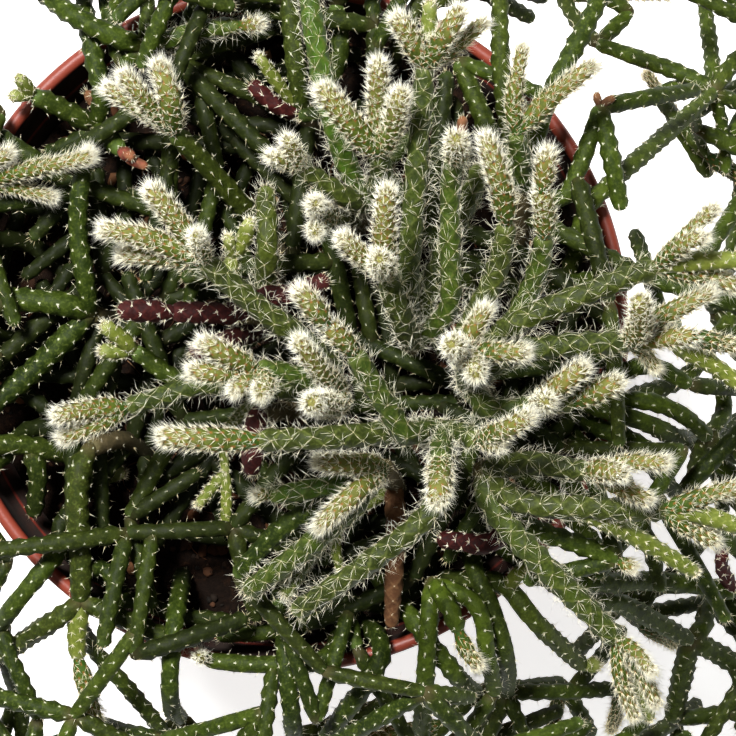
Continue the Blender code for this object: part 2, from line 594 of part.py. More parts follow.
def settle(stems):
    """Moves stems that would run through each other apart, the least that does it."""
    points, runs, first = [], [], []
    for number, stem in enumerate(stems):
        line = stem["line"]
        ids = []
        for k, p in enumerate(line):
            if k == 0 and stem["parent"] >= 0:
                shared = stems[stem["parent"]]["ids"]
                ids.append(shared[round(stem["share"] * (len(shared) - 1))])
                continue
            ids.append(len(points))
            points.append(p)
        stem["ids"] = ids
        for k, (i, j) in enumerate(zip(ids, ids[1:])):
            runs.append((i, j, number, k, len(ids) - 2 - k))
    at = np.array(points)
    start = at.copy()
    held = np.ones(len(at))
    for stem in stems:
        if stem["parent"] < 0:
            for k, i in enumerate(stem["ids"]):
                if at[i][2] < SOIL_TOP + 2.5:
                    held[i] = 0.0
    ri = np.array([r[0] for r in runs])
    rj = np.array([r[1] for r in runs])
    rs = np.array([r[2] for r in runs])
    rk = np.array([r[3] for r in runs])
    rb = np.array([r[4] for r in runs])
    radius = np.array([s["radius"] for s in stems])[rs]
    parent = np.array([s["parent"] for s in stems])
    cutting = np.array([s["cutting"] for s in stems])
    # how far along its parent each stem leaves it, in runs
    leave = np.array([
        round(s["share"] * (len(stems[s["parent"]]["ids"]) - 1)) if s["parent"] >= 0 else 0 for s in stems
    ])
    near = [[] for _ in at]
    for stem in stems:
        for i, j in zip(stem["ids"], stem["ids"][1:]):
            near[i].append(j)
            near[j].append(i)
    pair_i = np.concatenate([np.full(len(n), k) for k, n in enumerate(near)])
    pair_j = np.concatenate([np.array(n, int) for n in near])
    degree = np.bincount(pair_i, minlength=len(at)).astype(float)
    keep = None
    for step in range(SETTLE_STEPS):
        if step % 8 == 0:
            mid = (at[ri] + at[rj]) / 2
            a, b = [], []
            for k in range(len(ri)):
                d = np.abs(mid[k + 1:] - mid[k]).max(axis=1)
                hit = np.nonzero(d < 11)[0] + k + 1
                a.append(np.full(len(hit), k))
                b.append(hit)
            a, b = np.concatenate(a), np.concatenate(b)
            sa, sb = rs[a], rs[b]
            joined = (ri[a] == ri[b]) | (ri[a] == rj[b]) | (rj[a] == ri[b]) | (rj[a] == rj[b])
            same = (sa == sb) & (np.abs(rk[a] - rk[b]) < 4)
            sisters = (parent[sa] == parent[sb]) & (parent[sa] >= 0) & (rk[a] + rk[b] < 4) \
                & (np.abs(leave[sa] - leave[sb]) < 3)
            child = (parent[sa] == sb) & (rk[a] < 2) & (np.abs(leave[sa] - rk[b]) < 3)
            mother = (parent[sb] == sa) & (rk[b] < 2) & (np.abs(leave[sb] - rk[a]) < 3)
            grand = (cutting[sa] == cutting[sb]) & (sa != sb) & (
                ((parent[np.maximum(parent[sa], 0)] == sb) & (rk[a] < 2))
                | ((parent[np.maximum(parent[sb], 0)] == sa) & (rk[b] < 2)))
            ok = ~(joined | same | sisters | child | mother | grand)
            a, b = a[ok], b[ok]
            rest = radius[a] + radius[b] + STEM_GAP
            keep = (a, b, rest)
        a, b, rest = keep
        s, t = closest(at[ri[a]], at[rj[a]], at[ri[b]], at[rj[b]])
        pa = at[ri[a]] + (at[rj[a]] - at[ri[a]]) * s[:, None]
        pb = at[ri[b]] + (at[rj[b]] - at[ri[b]]) * t[:, None]
        way = pa - pb
        far = np.linalg.norm(way, axis=1)
        flat = far < 1e-4
        way[flat] = (0, 0, 1)
        far_safe = np.where(flat, 1, far)
        deep = np.maximum(rest - far, 0)
        hit = deep > 0
        push = way[hit] / far_safe[hit][:, None] * (deep[hit] * 0.42)[:, None]
        move, weight = np.zeros_like(at), np.zeros(len(at))
        for ids, share, sign in ((ri[a][hit], 1 - s[hit], 1), (rj[a][hit], s[hit], 1),
                                 (ri[b][hit], 1 - t[hit], -1), (rj[b][hit], t[hit], -1)):
            np.add.at(move, ids, push * (sign * share)[:, None])
            np.add.at(weight, ids, share)
        move /= np.maximum(weight, 1)[:, None]
        at += move * held[:, None] * 1.6
        if step < SETTLE_STEPS - 12:
            gone = at - start
            mean = np.zeros_like(gone)
            np.add.at(mean, pair_i, gone[pair_j])
            mean /= np.maximum(degree, 1)[:, None]
            gone += (mean - gone) * 0.35
            at = start + gone * np.where(held > 0, 0.995, 0)[:, None]
        at = clear_of_pot(at, held, stems)
    for stem in stems:
        stem["line"] = at[stem["ids"]]
    return stems


def clear_of_pot(at, held, stems):
    """Keeps every free point out of the soil, the pot wall, its rim and the table."""
    rho = np.hypot(at[:, 0], at[:, 1])
    unit = at[:, :2] / np.maximum(rho, 1e-6)[:, None]
    r = 2.4
    free = held > 0
    ring = RIM_RADIUS - 1.3
    inside = free & (rho < ring)
    at[:, 2] = np.where(inside & (at[:, 2] < SOIL_TOP + r + 0.2), SOIL_TOP + r + 0.2, at[:, 2])
    top = POT_HEIGHT - 1.3
    low = free & (at[:, 2] < top)
    most = RIM_RADIUS - RIM_THICK - r - 0.6
    new = np.where(low & inside & (rho > most), most, rho)
    least = np.where(at[:, 2] > POT_HEIGHT - RIM_DEPTH - 3, RIM_RADIUS,
                     FOOT_RADIUS + (BODY_TOP_RADIUS - FOOT_RADIUS) * at[:, 2] / (POT_HEIGHT - RIM_DEPTH)) + r + 0.6
    new = np.where(low & ~inside & (rho < least), least, new)
    # over the rim: out of a round bead on top of the wall
    dx, dz = new - ring, at[:, 2] - top
    d = np.hypot(dx, dz)
    need = 1.3 + r + 0.6
    over = free & (at[:, 2] >= top) & (d < need)
    k = np.where(over, need / np.maximum(d, 1e-6), 1)
    new = np.where(over, ring + dx * k, new)
    z = np.where(over, top + dz * k, at[:, 2])
    z = np.where(free & (z < 3.5), 3.5, z)
    return np.column_stack([unit[:, 0] * new, unit[:, 1] * new, z])


def skeleton():
    return settle(layout())


# ----------------------------------------------------------------- modelling
def material(name, colour, roughness):
    made = bpy.data.materials.new(name)
    made.use_nodes = True
    shader = made.node_tree.nodes["Principled BSDF"]
    shader.inputs["Base Color"].default_value = (*colour, 1)
    shader.inputs["Roughness"].default_value = roughness
    made.diffuse_color = (*colour, 1)
    return made


def add_object(name, mesh_bm, mat=None, helper=None):
    mesh = bpy.data.meshes.new(name)
    mesh_bm.to_mesh(mesh)
    mesh_bm.free()
    obj = bpy.data.objects.new(name, mesh)
    if helper:
        helper.objects.link(obj)
        obj.hide_render = True
        obj.display_type = "WIRE"
    else:
        bpy.context.scene.collection.objects.link(obj)
        mesh.materials.append(mat)
    return obj


def turned(profile, sides):
    """A closed body turned about Z from a closed outline of (radius, height) in mm."""
    bm = bmesh.new()
    rings = []
    for k in range(sides):
        a = 2 * math.pi * k / sides
        rings.append([bm.verts.new((r * math.cos(a) / 1000, r * math.sin(a) / 1000, z / 1000))
                      for r, z in profile])
    count = len(profile)
    for k in range(sides):
        here, there = rings[k], rings[(k + 1) % sides]
        for i in range(count - 1):
            if profile[i][0] == 0 and profile[i + 1][0] == 0:
                continue
            bm.faces.new((here[i], there[i], there[i + 1], here[i + 1]))
    bmesh.ops.remove_doubles(bm, verts=bm.verts, dist=1e-6)
    bmesh.ops.recalc_face_normals(bm, faces=bm.faces)
    return bm


def thinned(line, most):
    """The fewest of the line's points that stay within `most` of it."""
    keep = [0, len(line) - 1]

    def split(i, j):
        if j - i < 2:
            return
        a, b = line[i], line[j]
        d = (b - a) / max(np.linalg.norm(b - a), 1e-9)
        off = [np.linalg.norm((p - a) - d * np.dot(p - a, d)) for p in line[i + 1: j]]
        k = int(np.argmax(off))
        if off[k] > most:
            keep.append(i + 1 + k)
            split(i, i + 1 + k)
            split(i + 1 + k, j)

    split(0, len(line) - 1)
    return [line[k] for k in sorted(keep)]


def growth_runs(stems, own):
    """A cutting's stems as runs: at every tip the straightest of the new joints carries the run on."""
    follow = {}
    for i in own:
        line = stems[i]["line"]
        last = line[-1] - line[-2]
        grown = [j for j in own if stems[j]["parent"] == i and stems[j]["share"] == 1.0]
        turns = []
        for j in grown:
            way = stems[j]["line"][1] - stems[j]["line"][0]
            turns.append(float(np.dot(last, way) / np.linalg.norm(last) / np.linalg.norm(way)))
        if turns and max(turns) > 0.45:
            follow[i] = grown[int(np.argmax(turns))]
    runs = []
    for i in own:
        if i in follow.values():
            continue
        run = [i]
        while run[-1] in follow:
            run.append(follow[run[-1]])
        runs.append([stems[k] for k in run])
    return runs


def stations_of(run, root):
    """Centres and radii down a run: full along each joint, narrow between two, blunt at the tip."""
    stations = []
    for order, stem in enumerate(run):
        line = stem["line"]
        if root and order == 0:
            clear = next(k for k, p in enumerate(line) if p[2] > SOIL_TOP + 0.5)
            pts = thinned(line[:clear + 1], 0.4)[:-1] + thinned(line[clear:], 0.8)
        else:
            pts = thinned(line, 0.8)
        d0, d1 = pts[1] - pts[0], pts[-1] - pts[-2]
        n0, n1 = np.linalg.norm(d0), np.linalg.norm(d1)
        full = stem["radius"] * 1.04
        if order == 0:
            if root:
                stations.append((pts[0], stem["radius"] * 0.95))
            else:
                stations.append((pts[0] - d0 / n0 * 0.25, stem["radius"] * 0.6))
        middle = [(p, full) for p in pts[1:-1]]
        if not middle and n0 > (10 if order or not root else 22):
            middle = [((pts[0] + pts[1]) / 2, full)]
        stations += middle
        if order < len(run) - 1:
            stations.append((pts[-1], 0.84 * min(stem["radius"], run[order + 1]["radius"])))
        else:
            stations.append((pts[-1] + d1 / n1 * 0.3, stem["radius"] * 0.86))
    return stations


def tube(stations, sides, roll):
    """A closed tube through stations of (centre, radius)."""
    bm = bmesh.new()
    rings = []
    up = None
    for k, (p, radius) in enumerate(stations):
        a = stations[max(k - 1, 0)][0]
        b = stations[min(k + 1, len(stations) - 1)][0]
        d = Vector(b - a).normalized()
        if up is None:
            up = Vector((0.31, 0.17, 0.94)) if abs(d.z) < 0.8 else Vector((0.94, 0.31, 0.17))
        side = d.cross(up).normalized()
        up = side.cross(d).normalized()
        ring = []
        for n in range(sides):
            t = 2 * math.pi * (n + roll) / sides
            off = (side * math.cos(t) + up * math.sin(t)) * radius
            ring.append(bm.verts.new((Vector(p) + off) / 1000))
        rings.append(ring)
    for here, there in zip(rings, rings[1:]):
        for n in range(sides):
            m = (n + 1) % sides
            bm.faces.new((here[n], here[m], there[m], there[n]))
    bm.faces.new(rings[0][::-1])
    bm.faces.new(rings[-1])
    bmesh.ops.triangulate(bm, faces=bm.faces)
    bmesh.ops.recalc_face_normals(bm, faces=bm.faces)
    return bm


def united(obj, others):
    cut = obj.modifiers.new("joined", "BOOLEAN")
    cut.operation = "UNION"
    cut.solver = "EXACT"
    cut.operand_type = "COLLECTION"
    cut.collection = others
    return cut


def build_pot():
    r, h = RIM_RADIUS, POT_HEIGHT
    under = h - RIM_DEPTH
    outline = [
        (0, 0), (FOOT_RADIUS - 1.2, 0), (FOOT_RADIUS, 1.2), (BODY_TOP_RADIUS, under - 1.6),
        (BODY_TOP_RADIUS + 0.4, under), (r - 0.6, under), (r, under + 0.9), (r, h - 1.0), (r - 0.8, h),
        (r - RIM_THICK + 0.6, h), (r - RIM_THICK, h - 1.0),
        (pot_inside(under) - 0.2, under - 1.5), (FOOT_RADIUS - WALL + 0.3, FLOOR + 1.2), (FOOT_RADIUS - WALL - 1.0, FLOOR), (0, FLOOR),
    ]
    pot = add_object("pot", turned(outline, 36), material("terracotta_pot", (0.50, 0.075, 0.035), 0.55))
    drills = bpy.data.collections.new("drain_drills")
    bpy.context.scene.collection.children.link(drills)
    for k in range(DRAINS):
        a = 2 * math.pi * (k + 0.25) / DRAINS
        bm = bmesh.new()
        bmesh.ops.create_cone(bm, cap_ends=True, segments=10, radius1=DRAIN_RADIUS / 1000,
                              radius2=DRAIN_RADIUS / 1000, depth=(FLOOR + 4) / 1000)
        drill = add_object("drain_drill_%d" % (k + 1), bm, helper=drills)
        drill.location = (DRAIN_CIRCLE * math.cos(a) / 1000, DRAIN_CIRCLE * math.sin(a) / 1000, FLOOR / 2000)
    bore = pot.modifiers.new("drains", "BOOLEAN")
    bore.operation, bore.solver, bore.operand_type = "DIFFERENCE", "EXACT", "COLLECTION"
    bore.collection = drills
    return pot


def build_soil(stems):
    under = POT_HEIGHT - RIM_DEPTH
    g = SOIL_GAP
    top = SOIL_TOP
    outline = [
        (0, FLOOR + g), (FOOT_RADIUS - WALL - 1.0 - g, FLOOR + g), (FOOT_RADIUS - WALL + 0.3 - g, FLOOR + 1.4 + g),
        (pot_inside(top) - 0.5 - g, top - 1.0), (pot_inside(top) - 1.8 - g, top), (0, top),
    ]
    soil = add_object("soil", turned(outline, 30), material("potting_soil", (0.018, 0.010, 0.007), 0.95))
    holes = bpy.data.collections.new("planting_holes")
    bpy.context.scene.collection.children.link(holes)
    for stem in stems:
        if stem["parent"] >= 0:
            continue
        x, y, z = stem["line"][0]
        bm = bmesh.new()
        bmesh.ops.create_cone(bm, cap_ends=True, segments=6,
                              radius1=(stem["radius"] + SOCKET_GAP) * 1.16 / 1000,
                              radius2=(stem["radius"] + SOCKET_GAP) * 1.16 / 1000, depth=(PLANTED + 6) / 1000)
        hole = add_object("planting_hole_" + stem["cutting"], bm, helper=holes)
        hole.location = (x / 1000, y / 1000, (SOIL_TOP - PLANTED - 0.4 + (PLANTED + 6) / 2) / 1000)
        hole.rotation_euler = (0, 0, 0.37)
    cut = soil.modifiers.new("planting", "BOOLEAN")
    cut.operation, cut.solver, cut.operand_type = "DIFFERENCE", "EXACT", "COLLECTION"
    cut.collection = holes
    return soil


def build_cuttings(stems):
    names = sorted({s["cutting"] for s in stems})
    for number, cutting in enumerate(names):
        own = [k for k, s in enumerate(stems) if s["cutting"] == cutting]
        shade = 0.8 + 0.4 * ((number * 7) % 10) / 10
        mat = material("cutting_%02d_skin" % (number + 1), (0.10 * shade, 0.20 * shade, 0.05), 0.6)
        rest = bpy.data.collections.new("joints_%02d" % (number + 1))
        bpy.context.scene.collection.children.link(rest)
        whole = None
        runs = growth_runs(stems, own)
        for k, run in enumerate(runs):
            sides = 5 if max(s["radius"] for s in run) > 2.15 else 4
            bm = tube(stations_of(run, run[0]["parent"] < 0), sides, 0.13 + 0.29 * (k % 3))
            if whole is None:
                whole = add_object("cutting_%02d" % (number + 1), bm, mat)
            else:
                add_object("joint_%s" % run[0]["name"], bm, helper=rest)
        if len(runs) > 1:
            united(whole, rest)


def main():
    for obj in list(bpy.data.objects):
        bpy.data.objects.remove(obj, do_unlink=True)
    stems = skeleton()
    build_pot()
    build_soil(stems)
    build_cuttings(stems)


main()
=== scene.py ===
"""Looks of the potted hairy-stemmed mistletoe cactus: every cutting as ribbed, hairy
joints, the pot as moulded plastic and the soil as loose mix, around the fixed frame.

Lengths in the tables below are millimetres; meshes are made in metres.
"""

import json
import math
import random

import bpy
import numpy as np
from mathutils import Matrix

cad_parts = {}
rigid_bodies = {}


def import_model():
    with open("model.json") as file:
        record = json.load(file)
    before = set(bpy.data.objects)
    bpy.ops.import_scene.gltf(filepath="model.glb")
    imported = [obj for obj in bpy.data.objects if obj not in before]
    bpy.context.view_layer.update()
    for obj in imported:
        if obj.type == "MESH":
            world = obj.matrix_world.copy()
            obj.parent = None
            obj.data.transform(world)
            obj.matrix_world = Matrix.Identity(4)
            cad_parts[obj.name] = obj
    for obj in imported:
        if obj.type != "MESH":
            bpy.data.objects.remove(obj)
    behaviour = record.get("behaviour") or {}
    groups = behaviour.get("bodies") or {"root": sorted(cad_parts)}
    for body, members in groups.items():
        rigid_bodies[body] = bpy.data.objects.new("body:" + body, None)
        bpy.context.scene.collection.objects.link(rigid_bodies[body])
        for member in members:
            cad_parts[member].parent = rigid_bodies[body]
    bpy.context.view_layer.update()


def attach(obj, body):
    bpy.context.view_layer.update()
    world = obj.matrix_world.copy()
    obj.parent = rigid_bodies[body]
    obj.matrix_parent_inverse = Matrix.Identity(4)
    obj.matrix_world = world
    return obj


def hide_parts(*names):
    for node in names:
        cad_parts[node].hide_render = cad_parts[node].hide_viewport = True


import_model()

# ---------------------------------------------------------------- dimensions
POT_HEIGHT = 115.0
RIM_RADIUS = 65.0  # outside of the rolled rim
RIM_THICK = 2.6
RIM_DEPTH = 11.0  # height of the rim band
WALL = 1.8
FLOOR = 3.0
BODY_TOP_RADIUS = 61.6  # outside of the wall just under the rim band
FOOT_RADIUS = 44.0
DRAIN_RADIUS = 3.5
DRAIN_CIRCLE = 27.0
DRAINS = 5
SOIL_DROP = 13.0  # soil level below the rim
SOIL_GAP = 0.35  # between the soil and the pot
PLANTED = 9.0  # how deep each cutting stands in the soil
PLANTING_RADIUS = 53.5  # no foot stands nearer the wall than this
SOCKET_GAP = 0.5
STEM_GAP = 0.75  # least clear space kept between two stems
NODE_STEP = 4.6  # spacing of the points along a stem
SETTLE_STEPS = 90

SOIL_TOP = POT_HEIGHT - SOIL_DROP

# The stems are laid out on a plan drawn in perspective, 736 units square, from
# a point EYE above the foot of the pot: nearer things are drawn larger.
EYE = (15.8, -7.7, POT_HEIGHT + 560.0)
PLAN_SCALE = 2980.0
PLAN_MIDDLE = 368.0


def placed(u, v, rise):
    """The point drawn at (u, v) on the plan whose height over the rim is rise."""
    z = POT_HEIGHT + rise
    k = (EYE[2] - z) / PLAN_SCALE
    return (EYE[0] + (u - PLAN_MIDDLE) * k, EYE[1] - (v - PLAN_MIDDLE) * k, z)


